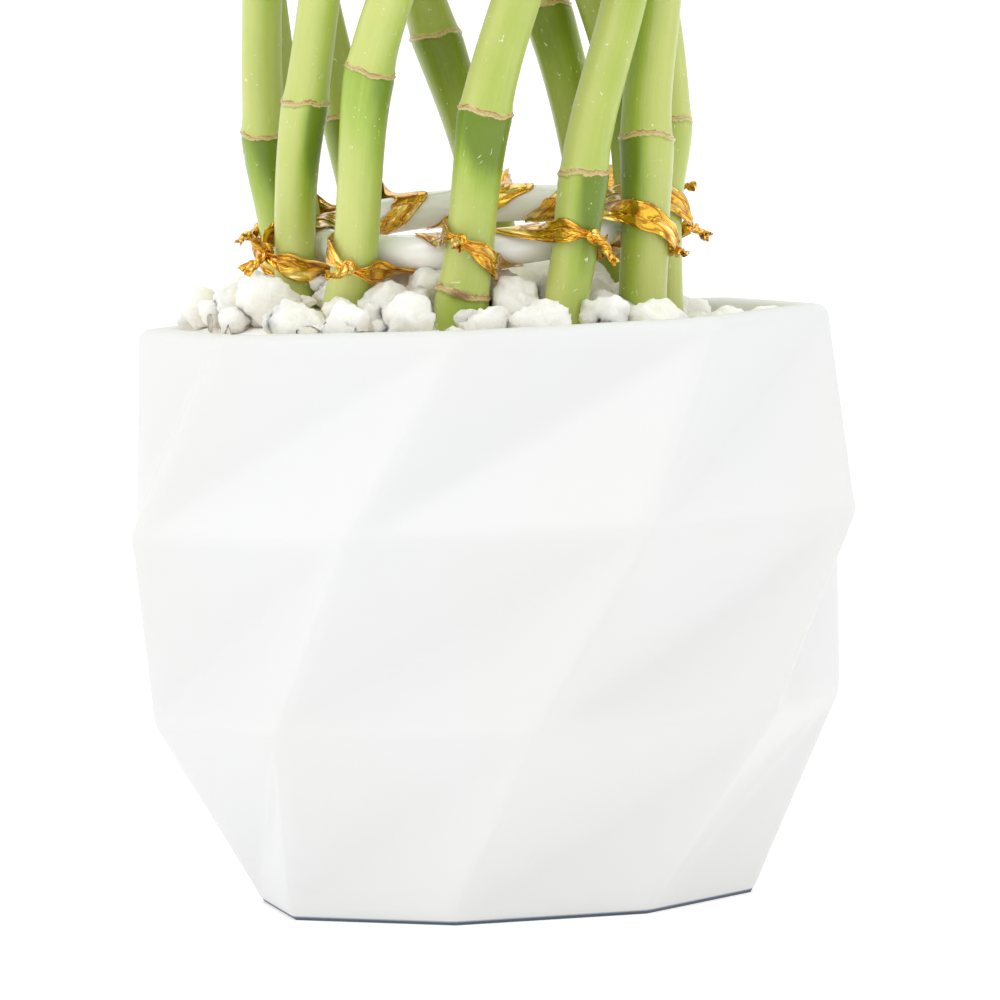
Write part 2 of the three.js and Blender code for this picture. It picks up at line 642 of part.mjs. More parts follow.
const plant = new THREE.Group();
plant.add(named("pot", pot(), glaze));
plant.add(named("gravel", gravel(), quartz));
plant.add(hoopMesh("hoop_lower", LOWER_HOOP, whitePlastic));
plant.add(hoopMesh("hoop_upper", UPPER_HOOP, whitePlastic));
const shoots = growShoots();
CANES.forEach((cane, index) => {
  const number = String(index + 1).padStart(2, "0");
  const [low, high] = [cane.turns[1], topTurnOf(index)];
  plant.add(named(`cane_${number}`, caneSolid(cane, index), caneGreen));
  const lowerTie = TIES[index];
  const upperTie = { ...lowerTie, slant: UPPER_TIE_SLANT, lift: 0 };
  plant.add(tieMesh(`tie_lower_${number}`, cane, index, LOWER_HOOP, low, lowerTie, 1, goldFoil));
  plant.add(tieMesh(`tie_upper_${number}`, cane, index, UPPER_HOOP, high, upperTie, -1, goldFoil));
  const caneRoom = caneSolid(cane, index, CLEARANCE);
  plant.add(named(`shoot_${number}`, shootSolid(shoots[index], caneRoom), leafGreen));
});

export default plant;
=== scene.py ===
"""Lucky bamboo in a faceted pot: the looks of the plant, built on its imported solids.

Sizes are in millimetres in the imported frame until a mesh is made, which is in metres. +Z is up, -Y the front
and +X the right. A turn is an angle in degrees round the pot's axis, from the front towards the right.
"""

import logging
import math
from dataclasses import dataclass, field
from enum import Enum

import bmesh
import bpy
import numpy as np
from mathutils import Matrix, Vector


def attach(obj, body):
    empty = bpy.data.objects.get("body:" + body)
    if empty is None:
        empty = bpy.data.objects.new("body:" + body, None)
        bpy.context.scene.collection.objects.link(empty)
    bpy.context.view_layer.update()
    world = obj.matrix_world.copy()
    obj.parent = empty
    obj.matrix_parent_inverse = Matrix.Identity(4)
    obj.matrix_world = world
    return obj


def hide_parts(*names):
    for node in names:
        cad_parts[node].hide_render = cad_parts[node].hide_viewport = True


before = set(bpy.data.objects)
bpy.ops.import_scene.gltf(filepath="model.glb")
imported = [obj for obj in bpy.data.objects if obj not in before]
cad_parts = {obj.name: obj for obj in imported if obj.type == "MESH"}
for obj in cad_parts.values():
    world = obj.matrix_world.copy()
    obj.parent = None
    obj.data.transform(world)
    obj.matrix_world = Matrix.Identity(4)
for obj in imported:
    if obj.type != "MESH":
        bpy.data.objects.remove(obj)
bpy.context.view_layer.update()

LOG = logging.getLogger("lucky_bamboo")
BODY = "root"
MM = 0.001
CLEARANCE = 0.3
CAGE_X = -1.5
INTERNODE = 48.0
# About a whole turn in radians, for scattered angles
WHOLE_TURN = 6.3
# How many points of a leaf or a stalk are tested against the others
TRAIL_POINTS = 14


class Slot(Enum):
    """The record's material slots."""

    POT = "pot"
    GRAVEL = "gravel"
    HOOP = "hoop"
    CANE = "cane"
    FOIL = "foil"
    LEAF = "leaf"


class Trait(Enum):
    """Numbers that a mesh keeps at each vertex for its finish to read."""

    TONE = "tone"
    ALONG = "along"
    RING = "ring_distance"
    NEAR = "near_ring"
    # The skin's own green, with the painted shade on a cane's shadow side
    GREEN_AND_SHADE = "green_and_painted_shade"
    BUD = "bud"
    GRAIN = "grain"
    ACROSS = "across"
    PART = "part"


def scatter(seed: float) -> float:
    """A scattered number from 0 to 1, always the same for the same seed."""
    wave = math.sin(seed * 12.9898 + 78.233) * 43758.5453
    return wave - math.floor(wave)


def scatter_in(limits: tuple[float, float], seed: float) -> float:
    """A scattered number between two limits, always the same for the same seed."""
    return limits[0] + (limits[1] - limits[0]) * scatter(seed)


def smoothstep(low: float, high: float, value: np.ndarray) -> np.ndarray:
    """A soft step from 0 at low to 1 at high."""
    share = np.clip((value - low) / (high - low), 0, 1)
    return share * share * (3 - 2 * share)


def unit(vectors: np.ndarray) -> np.ndarray:
    """Vectors scaled to a length of 1, along the last axis."""
    return vectors / np.linalg.norm(vectors, axis=-1, keepdims=True)


def polar(radius: np.ndarray, turn: np.ndarray, z: np.ndarray) -> np.ndarray:
    """Points at a radius, a turn in degrees and a height, round the vertical axis."""
    radius, turn, z = np.broadcast_arrays(radius, np.radians(turn), z)
    return np.stack([radius * np.sin(turn), -radius * np.cos(turn), z], axis=-1).astype(float)


def between(heights: list[float], values: list[float], z: np.ndarray) -> np.ndarray:
    """A smooth curve through values given at rising heights, which never swings past them.

    Args:
        heights: Where the values are, rising.
        values: The values there.
        z: Where the curve is read.

    Returns:
        The curve's values at z.
    """
    x, y = np.asarray(heights, float), np.asarray(values, float)
    secants = np.diff(y) / np.diff(x)
    before = np.concatenate([secants[:1], secants])
    after = np.concatenate([secants, secants[-1:]])
    total = np.where(before * after > 0, before + after, 1)
    slopes = np.where(before * after > 0, 2 * before * after / total, 0)
    i = np.clip(np.searchsorted(x, z, side="right") - 1, 0, len(x) - 2)
    span = x[i + 1] - x[i]
    t = (z - x[i]) / span
    start = y[i] * (2 * t**3 - 3 * t**2 + 1) + slopes[i] * span * (t**3 - 2 * t**2 + t)
    return start + y[i + 1] * (3 * t**2 - 2 * t**3) + slopes[i + 1] * span * (t**3 - t**2)


@dataclass
class Shape:
    """Closed mesh parts, in millimetres, that become one object."""

    places: list[np.ndarray] = field(default_factory=list)
    faces: list[tuple[int, ...]] = field(default_factory=list)
    traits: dict[Trait, list[np.ndarray]] = field(default_factory=dict)
    count: int = 0

    def add(self, places: np.ndarray, faces: list[tuple[int, ...]], traits: dict[Trait, np.ndarray]) -> None:
        """Adds one part.

        Args:
            places: Its vertices.
            faces: Its faces, as indices into places.
            traits: What its vertices keep for the finish.
        """
        self.places.append(places)
        self.faces += [tuple(index + self.count for index in face) for face in faces]
        self.count += len(places)
        for trait, values in traits.items():
            wide = (len(places), 3) if trait is Trait.GRAIN else (len(places),)
            self.traits.setdefault(trait, []).append(np.broadcast_to(values, wide))

    def sleeve(self, sections: np.ndarray, traits: dict[Trait, np.ndarray], ring: bool = False) -> None:
        """Adds a skin over sections that all have the same number of corners.

        Args:
            sections: Points as rows by corners by 3, each row a closed outline.
            traits: Numbers as rows by corners, or anything that spreads to that.
            ring: True joins the last section to the first, and otherwise both ends are capped.
        """
        rows, sides = sections.shape[:2]
        faces = []
        for row in range(rows if ring else rows - 1):
            near, far = row * sides, (row + 1) % rows * sides
            for k in range(sides):
                after = (k + 1) % sides
                faces.append((near + k, near + after, far + after, far + k))
        if not ring:
            faces.append(tuple(range(sides - 1, -1, -1)))
            faces.append(tuple(range((rows - 1) * sides, rows * sides)))
        flat = {}
        for trait, values in traits.items():
            wide = (rows, sides, 3) if trait is Trait.GRAIN else (rows, sides)
            flat[trait] = np.broadcast_to(values, wide).reshape(-1, *wide[2:])
        self.add(sections.reshape(-1, 3), faces, flat)

    def build(self, name: str) -> bpy.types.Object:
        """Makes the object, smooth shaded, with its faces pointing out.

        Args:
            name: The object's name.

        Returns:
            The new object, in the scene.
        """
        mesh = bpy.data.meshes.new(name)
        mesh.from_pydata((np.concatenate(self.places) * MM).tolist(), [], self.faces)
        for trait, parts in self.traits.items():
            vector = trait is Trait.GRAIN
            layer = mesh.attributes.new(trait.value, "FLOAT_VECTOR" if vector else "FLOAT", "POINT")
            layer.data.foreach_set("vector" if vector else "value", np.concatenate(parts).ravel())
        work = bmesh.new()
        work.from_mesh(mesh)
        bmesh.ops.recalc_face_normals(work, faces=work.faces)
        work.to_mesh(mesh)
        work.free()
        mesh.polygons.foreach_set("use_smooth", [True] * len(mesh.polygons))
        piece = bpy.data.objects.new(name, mesh)
        bpy.context.scene.collection.objects.link(piece)
        return piece


class Recipe:
    """One material's nodes, built step by step round a Principled shader."""

    def __init__(self, name: str, base: tuple[float, float, float], roughness: float) -> None:
        """Starts a material with a plain base colour.

        Args:
            name: The material's name.
            base: Its linear base colour.
            roughness: Its roughness.
        """
        self.material = bpy.data.materials.new(name)
        self.material.use_nodes = True
        self.material.diffuse_color = (*base, 1)
        self.tree = self.material.node_tree
        self.shader = self.tree.nodes["Principled BSDF"]
        self.set("Base Color", (*base, 1))
        self.set("Roughness", roughness)

    def set(self, socket: str, value: object) -> None:
        """Sets a socket of the shader."""
        self.shader.inputs[socket].default_value = value

    def drive(self, socket: str, output: bpy.types.NodeSocket) -> None:
        """Links an output to a socket of the shader."""
        self.tree.links.new(output, self.shader.inputs[socket])

    def coat(self, weight: float, roughness: float) -> None:
        """Lays a clear coat over the finish."""
        self.set("Coat Weight", weight)
        self.set("Coat Roughness", roughness)

    def glow(self, weight: float, radius: tuple[float, float, float], depth: float) -> None:
        """Lets light into the material.

        Args:
            weight: How much of it goes in.
            radius: How far red, green and blue go, as shares of the depth.
            depth: How deep it goes, in millimetres.
        """
        self.set("Subsurface Weight", weight)
        self.set("Subsurface Radius", radius)
        self.set("Subsurface Scale", depth * MM)

    def node(self, kind: str, settings: dict[str, object], inputs: dict[object, object]) -> bpy.types.Node:
        """Adds a node.

        Args:
            kind: Its type's name.
            settings: Its own properties.
            inputs: Values or outputs for its sockets, by name or number.

        Returns:
            The node.
        """
        made = self.tree.nodes.new(kind)
        for key, value in settings.items():
            setattr(made, key, value)
        for key, value in inputs.items():
            if isinstance(value, bpy.types.NodeSocket):
                self.tree.links.new(value, made.inputs[key])
            else:
                made.inputs[key].default_value = value
        return made

    def trait(self, trait: Trait) -> bpy.types.NodeSocket:
        """The output of a vertex trait."""
        made = self.node("ShaderNodeAttribute", {"attribute_name": trait.value}, {})
        return made.outputs["Vector" if trait is Trait.GRAIN else "Fac"]

    def place(self) -> bpy.types.NodeSocket:
        """The place on the piece, in metres."""
        return self.node("ShaderNodeTexCoord", {}, {}).outputs["Object"]

    def stretched(
        self, vector: bpy.types.NodeSocket, scale: tuple[float, float, float]
    ) -> bpy.types.NodeSocket:
        """A place with each axis multiplied by its own factor."""
        made = self.node("ShaderNodeVectorMath", {"operation": "MULTIPLY"}, {0: vector, 1: scale})
        return made.outputs[0]

    def noise(
        self, vector: bpy.types.NodeSocket, scale: float, detail: float = 2.0, roughness: float = 0.5
    ) -> bpy.types.NodeSocket:
        """Soft noise about 0.5, with so many features to a unit of the place."""
        inputs = {"Vector": vector, "Scale": scale, "Detail": detail, "Roughness": roughness}
        return self.node("ShaderNodeTexNoise", {}, inputs).outputs["Fac"]

    def cells(self, vector: bpy.types.NodeSocket, scale: float) -> bpy.types.NodeSocket:
        """The distance to the nearest cell's middle, with so many cells to a unit."""
        made = self.node("ShaderNodeTexVoronoi", {"feature": "F1"}, {"Vector": vector, "Scale": scale})
        return made.outputs["Distance"]

    def maths(self, operation: str, first: object, second: object = 0.0) -> bpy.types.NodeSocket:
        """One sum on two numbers or outputs, named as Blender names it."""
        return self.node("ShaderNodeMath", {"operation": operation}, {0: first, 1: second}).outputs[0]

    def scaled(self, value: bpy.types.NodeSocket, factor: float, offset: float) -> bpy.types.NodeSocket:
        """A number times a factor, plus an offset."""
        inputs = {0: value, 1: factor, 2: offset}
        return self.node("ShaderNodeMath", {"operation": "MULTIPLY_ADD"}, inputs).outputs[0]

    def total(self, *values: bpy.types.NodeSocket) -> bpy.types.NodeSocket:
        """The sum of several numbers.

        Args:
            values: The numbers.

        Returns:
            Their sum.
        """
        result = values[0]
        for value in values[1:]:
            result = self.maths("ADD", result, value)
        return result

    def product(self, *values: bpy.types.NodeSocket) -> bpy.types.NodeSocket:
        """The product of several numbers.

        Args:
            values: The numbers.

        Returns:
            Their product.
        """
        result = values[0]
        for value in values[1:]:
            result = self.maths("MULTIPLY", result, value)
        return result

    def step(self, value: bpy.types.NodeSocket, low: float, high: float) -> bpy.types.NodeSocket:
        """A soft step from 0 at low to 1 at high, or down if low is above high.

        Args:
            value: The number to step.
            low: Where the result is 0.
            high: Where the result is 1.

        Returns:
            The stepped number.
        """
        start, end = (low, high) if low < high else (high, low)
        ends = (0.0, 1.0) if low < high else (1.0, 0.0)
        inputs = {"Value": value, "From Min": start, "From Max": end, "To Min": ends[0], "To Max": ends[1]}
        settings = {"interpolation_type": "SMOOTHSTEP"}
        return self.node("ShaderNodeMapRange", settings, inputs).outputs["Result"]

    def mix(self, share: object, first: object, second: object) -> bpy.types.NodeSocket:
        """Mixes two colours.

        Args:
            share: How much of the second, a number or an output.
            first: A linear colour or an output.
            second: A linear colour or an output.

        Returns:
            The mixed colour.
        """
        made = self.node("ShaderNodeMix", {"data_type": "RGBA"}, {0: share})
        for socket, colour in ((6, first), (7, second)):
            if isinstance(colour, bpy.types.NodeSocket):
                self.tree.links.new(colour, made.inputs[socket])
            else:
                made.inputs[socket].default_value = (*colour, 1)
        return made.outputs[2]

    def bump(self, height: bpy.types.NodeSocket, depth: float, strength: float = 1.0) -> None:
        """Adds relief, on top of any added before.

        Args:
            height: Its height, from 0 to 1.
            depth: How deep 1 is, in millimetres.
            strength: How much of it shows.
        """
        normal = self.shader.inputs["Normal"]
        inputs = {"Height": height, "Distance": depth * MM, "Strength": strength}
        if normal.is_linked:
            inputs["Normal"] = normal.links[0].from_socket
        self.drive("Normal", self.node("ShaderNodeBump", {}, inputs).outputs["Normal"])


@dataclass(frozen=True)
class Glaze:
    """White glossy pot glaze, a little uneven, with a thin slate-grey painted contact shadow at the very
    bottom of its foot.
    """

    colour: tuple[float, float, float] = (0.735, 0.74, 0.735)
    # Slate-grey of the painted contact shadow where the foot meets the floor
    foot: tuple[float, float, float] = (0.1, 0.13, 0.17)
    roughness: float = 0.22
    waviness: float = 0.1
    contact_shadow_band: tuple[float, float] = (1.0, 0.45)
    cream: tuple[float, float, float] = (1.0, 0.995, 0.98)
    specular: float = 0.0
    coat: float = 0.22
    coat_roughness: float = 0.08

    def material(self) -> bpy.types.Material:
        """Builds the finish."""
        recipe = Recipe("white_glaze", self.colour, self.roughness)
        place = recipe.place()
        cloud = recipe.noise(place, 14, 2)
        warm = tuple(channel * share for channel, share in zip(self.colour, self.cream))
        body = recipe.mix(recipe.step(cloud, 0.35, 0.65), self.colour, warm)
        height = recipe.node("ShaderNodeSeparateXYZ", {}, {0: place}).outputs["Z"]
        # Painted contact shadow over the lowest millimetre of the foot
        foot = recipe.step(height, *(level * MM for level in self.contact_shadow_band))
        recipe.drive("Base Color", recipe.mix(foot, body, self.foot))
        recipe.drive("Roughness", recipe.scaled(cloud, 0.1, self.roughness - 0.05))
        recipe.bump(recipe.noise(place, 60, 2), self.waviness)
        recipe.set("Specular IOR Level", self.specular)
        recipe.coat(self.coat, self.coat_roughness)
        return recipe.material


@dataclass(frozen=True)
class Quartz:
    """Milky broken quartz, each stone a little different."""

    light: tuple[float, float, float] = (1.0, 0.95, 0.85)
    warm: tuple[float, float, float] = (1.0, 0.905, 0.73)
    clear: tuple[float, float, float] = (1.0, 0.965, 0.89)
    roughness: float = 0.7
    specular: float = 0.3
    glow: float = 1.0
    glow_colour: tuple[float, float, float] = (1.0, 1.0, 1.0)
    glow_depth: float = 6.0
    grit_depth: float = 0.4
    pit_depth: float = 0.3

    def material(self) -> bpy.types.Material:
        """Builds the finish."""
        recipe = Recipe("milky_quartz", self.light, self.roughness)
        place = recipe.place()
        cloud = recipe.noise(place, 190, 4, 0.6)
        veins = recipe.noise(recipe.stretched(place, (1, 1.7, 0.6)), 420, 3)
        share = recipe.product(recipe.step(cloud, 0.4, 0.72), recipe.trait(Trait.TONE))
        body = recipe.mix(share, self.light, self.warm)
        recipe.drive("Base Color", recipe.mix(recipe.step(veins, 0.6, 0.76), body, self.clear))
        recipe.drive("Roughness", recipe.scaled(cloud, 0.3, self.roughness - 0.15))
        recipe.bump(recipe.noise(place, 620, 5, 0.62), self.grit_depth)
        recipe.bump(recipe.cells(place, 330), self.pit_depth)
        recipe.set("Specular IOR Level", self.specular)
        recipe.glow(self.glow, self.glow_colour, self.glow_depth)
        return recipe.material


@dataclass(frozen=True)
class WhitePlastic:
    """Glossy milk-white tube with a faint green cast."""

    colour: tuple[float, float, float] = (1.0, 0.995, 0.965)
    dull: tuple[float, float, float] = (0.975, 0.98, 0.96)
    roughness: float = 0.18
    waviness: float = 0.08
    glow: float = 0.45
    glow_colour: tuple[float, float, float] = (0.85, 1.0, 0.75)
    glow_depth: float = 3.0
    coat: float = 0.8
    coat_roughness: float = 0.08

    def material(self) -> bpy.types.Material:
        """Builds the finish."""
        recipe = Recipe("white_tube", self.colour, self.roughness)
        place = recipe.place()
        cloud = recipe.noise(place, 60, 3)
        dull = tuple(channel * share for channel, share in zip(self.colour, self.dull))
        recipe.drive("Base Color", recipe.mix(recipe.step(cloud, 0.3, 0.7), self.colour, dull))
        recipe.drive("Roughness", recipe.scaled(cloud, 0.12, 0.12))
        recipe.bump(recipe.noise(place, 220, 2), self.waviness)
        recipe.glow(self.glow, self.glow_colour, self.glow_depth)
        recipe.coat(self.coat, self.coat_roughness)
        return recipe.material


@dataclass(frozen=True)
class Foil:
    """Crumpled gold foil with long sharp folds, painted dark reflections and crease shade, and painted
    highlights.
    """

    light: tuple[float, float, float] = (0.9, 0.48, 0.035)
    # Deep is painted dark reflection and crease shade, and painted_glint is a painted highlight
    deep: tuple[float, float, float] = (0.45, 0.17, 0.012)
    painted_glint: tuple[float, float, float] = (1.0, 0.76, 0.26)
    roughness: float = 0.2
    fold_depth: float = 0.22
    crumple_depth: float = 0.4
    coat: float = 0.5
    coat_roughness: float = 0.12

    def material(self) -> bpy.types.Material:
        """Builds the finish."""
        recipe = Recipe("gold_foil", self.light, self.roughness)
        grain = recipe.trait(Trait.GRAIN)
        folds = recipe.noise(recipe.stretched(grain, (0.13, 0.62, 1)), 1, 2, 0.45)
        ridges = recipe.step(recipe.maths("ABSOLUTE", recipe.scaled(folds, 1, -0.5)), 0.0, 0.05)
        crumple = recipe.cells(recipe.stretched(grain, (0.4, 0.55, 1)), 0.9)
        cloud = recipe.noise(grain, 0.4, 2)
        # Painted dark reflections in broad patches, painted shade in the creases and painted highlights on the
        # folds
        body = recipe.mix(recipe.step(cloud, 0.48, 0.72), self.light, self.deep)
        body = recipe.mix(recipe.step(ridges, 0.3, 0.0), body, self.deep)
        body = recipe.mix(recipe.step(folds, 0.56, 0.7), body, self.painted_glint)
        recipe.drive("Base Color", body)
        recipe.drive("Roughness", recipe.scaled(cloud, 0.16, 0.08))
        recipe.bump(ridges, self.fold_depth, 0.6)
        recipe.bump(crumple, self.crumple_depth, 0.5)
        recipe.set("Metallic", 1.0)
        recipe.coat(self.coat, self.coat_roughness)
        return recipe.material


@dataclass(frozen=True)
class Bark:
    """Waxy green skin: pale above each node ring, deep green under the next, tan rings, scuffs, painted shade
    down one side.
    """

    pale: tuple[float, float, float] = (0.585, 0.638, 0.2)
    fresh: tuple[float, float, float] = (0.37, 0.51, 0.07)
    deep: tuple[float, float, float] = (0.13, 0.225, 0.008)
    olive: tuple[float, float, float] = (0.27, 0.31, 0.025)
    scar: tuple[float, float, float] = (0.68, 0.53, 0.24)
    brown: tuple[float, float, float] = (0.36, 0.19, 0.06)
    scuff: tuple[float, float, float] = (0.8, 0.86, 0.68)
    cut: tuple[float, float, float] = (0.62, 0.58, 0.33)
    bud: tuple[float, float, float] = (0.25, 0.11, 0.05)
    roughness: float = 0.34
    specular: float = 0.32
    coat: float = 0.35
    coat_roughness: float = 0.25
    glow: float = 0.15
    glow_colour: tuple[float, float, float] = (0.5, 1.0, 0.2)
    glow_depth: float = 1.4
    streak_depth: float = 0.06
    grain_depth: float = 0.05

    def material(self) -> bpy.types.Material:
        """Builds the finish."""
        recipe = Recipe("cane_bark", self.fresh, self.roughness)
        grain = recipe.trait(Trait.GRAIN)
        streak = recipe.noise(recipe.stretched(grain, (1, 1, 0.05)), 1.7, 3)
        cloud = recipe.noise(recipe.stretched(grain, (1, 1, 0.4)), 0.3, 3)
        body = self._skin(recipe, streak, cloud)
        body = recipe.mix(self._scuffs(recipe, grain), body, self.scuff)
        body = self._ring(recipe, grain, body)
        body = recipe.mix(recipe.trait(Trait.BUD), body, self.bud)
        recipe.drive("Base Color", recipe.mix(recipe.trait(Trait.PART), body, self.cut))
        recipe.drive("Roughness", recipe.scaled(cloud, 0.2, 0.22))
        recipe.bump(streak, self.streak_depth)
        recipe.bump(recipe.noise(grain, 3, 3), self.grain_depth)
        recipe.set("Specular IOR Level", self.specular)
        recipe.coat(self.coat, self.coat_roughness)
        recipe.glow(self.glow, self.glow_colour, self.glow_depth)
        return recipe.material

    def _skin(
        self, recipe: Recipe, streak: bpy.types.NodeSocket, cloud: bpy.types.NodeSocket
    ) -> bpy.types.NodeSocket:
        """The green of the skin, from pale to deep.

        Args:
            recipe: The material so far.
            streak: Noise drawn out along the cane.
            cloud: Broad noise.

        Returns:
            The colour.
        """
        # The trait holds the skin's own green and the painted shade down each cane's shadow side
        depth = recipe.trait(Trait.GREEN_AND_SHADE)
        depth = recipe.total(depth, recipe.scaled(streak, 0.2, -0.1), recipe.scaled(cloud, 0.36, -0.18))
        body = recipe.mix(recipe.step(depth, -0.12, 0.6), self.pale, self.fresh)
        body = recipe.mix(recipe.step(depth, 0.38, 1.1), body, self.deep)
        return recipe.mix(recipe.trait(Trait.TONE), body, self.olive)

    def _ring(
        self, recipe: Recipe, grain: bpy.types.NodeSocket, body: bpy.types.NodeSocket
    ) -> bpy.types.NodeSocket:
        """The papery scar on each node ring, with a brown upper edge and a shadow under it.

        Args:
            recipe: The material so far.
            grain: The place on the straight cane, in millimetres.
            body: The skin's colour.

        Returns:
            The colour.
        """
        near = recipe.trait(Trait.NEAR)
        ragged = recipe.scaled(recipe.noise(grain, 1.1, 4, 0.65), 1.1, -0.55)
        wide = recipe.total(recipe.trait(Trait.RING), ragged)
        fibre = recipe.noise(recipe.stretched(grain, (1, 1, 2.5)), 2.6, 4, 0.7)
        under = recipe.product(recipe.step(wide, -1.0, -0.45), recipe.step(wide, -0.2, -0.45), near)
        body = recipe.mix(recipe.scaled(under, 0.45, 0.0), body, self.deep)
        band = recipe.product(recipe.step(wide, -0.48, -0.34), recipe.step(wide, 0.6, 0.3), near)
        scar = recipe.mix(recipe.step(fibre, 0.5, 0.68), self.scar, self.brown)
        scar = recipe.mix(recipe.step(wide, -0.1, -0.35), scar, self.scar)
        body = recipe.mix(band, body, scar)
        rim = recipe.product(recipe.step(wide, 0.18, 0.34), recipe.step(wide, 0.6, 0.42), near)
        patchy = recipe.step(recipe.noise(grain, 0.45, 2), 0.42, 0.58)
        return recipe.mix(recipe.product(rim, patchy), body, self.brown)

    @staticmethod
    def _scuffs(recipe: Recipe, grain: bpy.types.NodeSocket) -> bpy.types.NodeSocket:
        """Small pale dots, thin scratches and a few larger scuffs.

        Args:
            recipe: The material so far.
            grain: The place on the straight cane, in millimetres.

        Returns:
            How much of a scuff is at each place.
        """
        dots = recipe.step(recipe.cells(recipe.stretched(grain, (1, 1, 0.85)), 0.8), 0.14, 0.07)
        dots = recipe.product(dots, recipe.step(recipe.noise(grain, 0.2, 2), 0.54, 0.64))
        curl = recipe.noise(recipe.stretched(grain, (1, 1, 0.45)), 0.5, 1)
        line = recipe.step(recipe.maths("ABSOLUTE", recipe.scaled(curl, 1, -0.5)), 0.011, 0.004)
        line = recipe.product(line, recipe.step(recipe.noise(grain, 0.55, 1), 0.64, 0.72))
        patch = recipe.step(recipe.noise(recipe.stretched(grain, (1, 1, 0.6)), 0.42, 4, 0.7), 0.69, 0.74)
        return recipe.maths("MAXIMUM", recipe.maths("MAXIMUM", dots, line), recipe.scaled(patch, 0.6, 0.0))


@dataclass(frozen=True)
class LeafSkin:
    """Satin green leaf with fine lengthwise veins and a paler stalk."""

    deep: tuple[float, float, float] = (0.07, 0.2, 0.03)
    fresh: tuple[float, float, float] = (0.17, 0.38, 0.06)
    stalk: tuple[float, float, float] = (0.36, 0.5, 0.14)
    dry_tip: tuple[float, float, float] = (0.4, 0.33, 0.1)
    roughness: float = 0.34
    vein_pitch: float = 46.0
    vein_depth: float = 0.1
    grain_depth: float = 0.08
    glow: float = 0.15
    glow_colour: tuple[float, float, float] = (0.4, 1.0, 0.15)
    glow_depth: float = 1.0

    def material(self) -> bpy.types.Material:
        """Builds the finish."""
        recipe = Recipe("leaf_skin", self.fresh, self.roughness)
        across, along = recipe.trait(Trait.ACROSS), recipe.trait(Trait.ALONG)
        part, place = recipe.trait(Trait.PART), recipe.place()
        veins = recipe.maths("SINE", recipe.maths("MULTIPLY", across, self.vein_pitch))
        cloud = recipe.noise(place, 45, 3)
        body = recipe.mix(recipe.scaled(veins, 0.1, 0.5), self.deep, self.fresh)
        body = recipe.mix(recipe.step(cloud, 0.4, 0.7), body, self.fresh)
        rib = recipe.step(recipe.maths("ABSOLUTE", across), 0.1, 0.03)
        body = recipe.mix(recipe.maths("MULTIPLY", rib, 0.55), body, self.stalk)
        body = recipe.mix(recipe.step(along, 0.16, 0.0), body, self.stalk)
        body = recipe.mix(recipe.step(along, 0.94, 1.0), body, self.dry_tip)
        recipe.drive("Base Color", recipe.mix(part, body, self.stalk))
        recipe.bump(veins, self.vein_depth, 0.6)
        recipe.bump(recipe.noise(place, 300, 2), self.grain_depth)
        recipe.glow(self.glow, self.glow_colour, self.glow_depth)
        return recipe.material


def hand_in(piece: bpy.types.Object, material: bpy.types.Material, slot: Slot, *nodes: str) -> None:
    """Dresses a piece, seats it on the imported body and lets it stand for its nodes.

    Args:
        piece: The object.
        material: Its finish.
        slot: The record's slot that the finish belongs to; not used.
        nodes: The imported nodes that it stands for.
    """
    piece.data.materials.append(material)
    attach(piece, BODY)
    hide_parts(*nodes)
    LOG.info("%s stands for %s with %d faces", piece.name, ", ".join(nodes), len(piece.data.polygons))


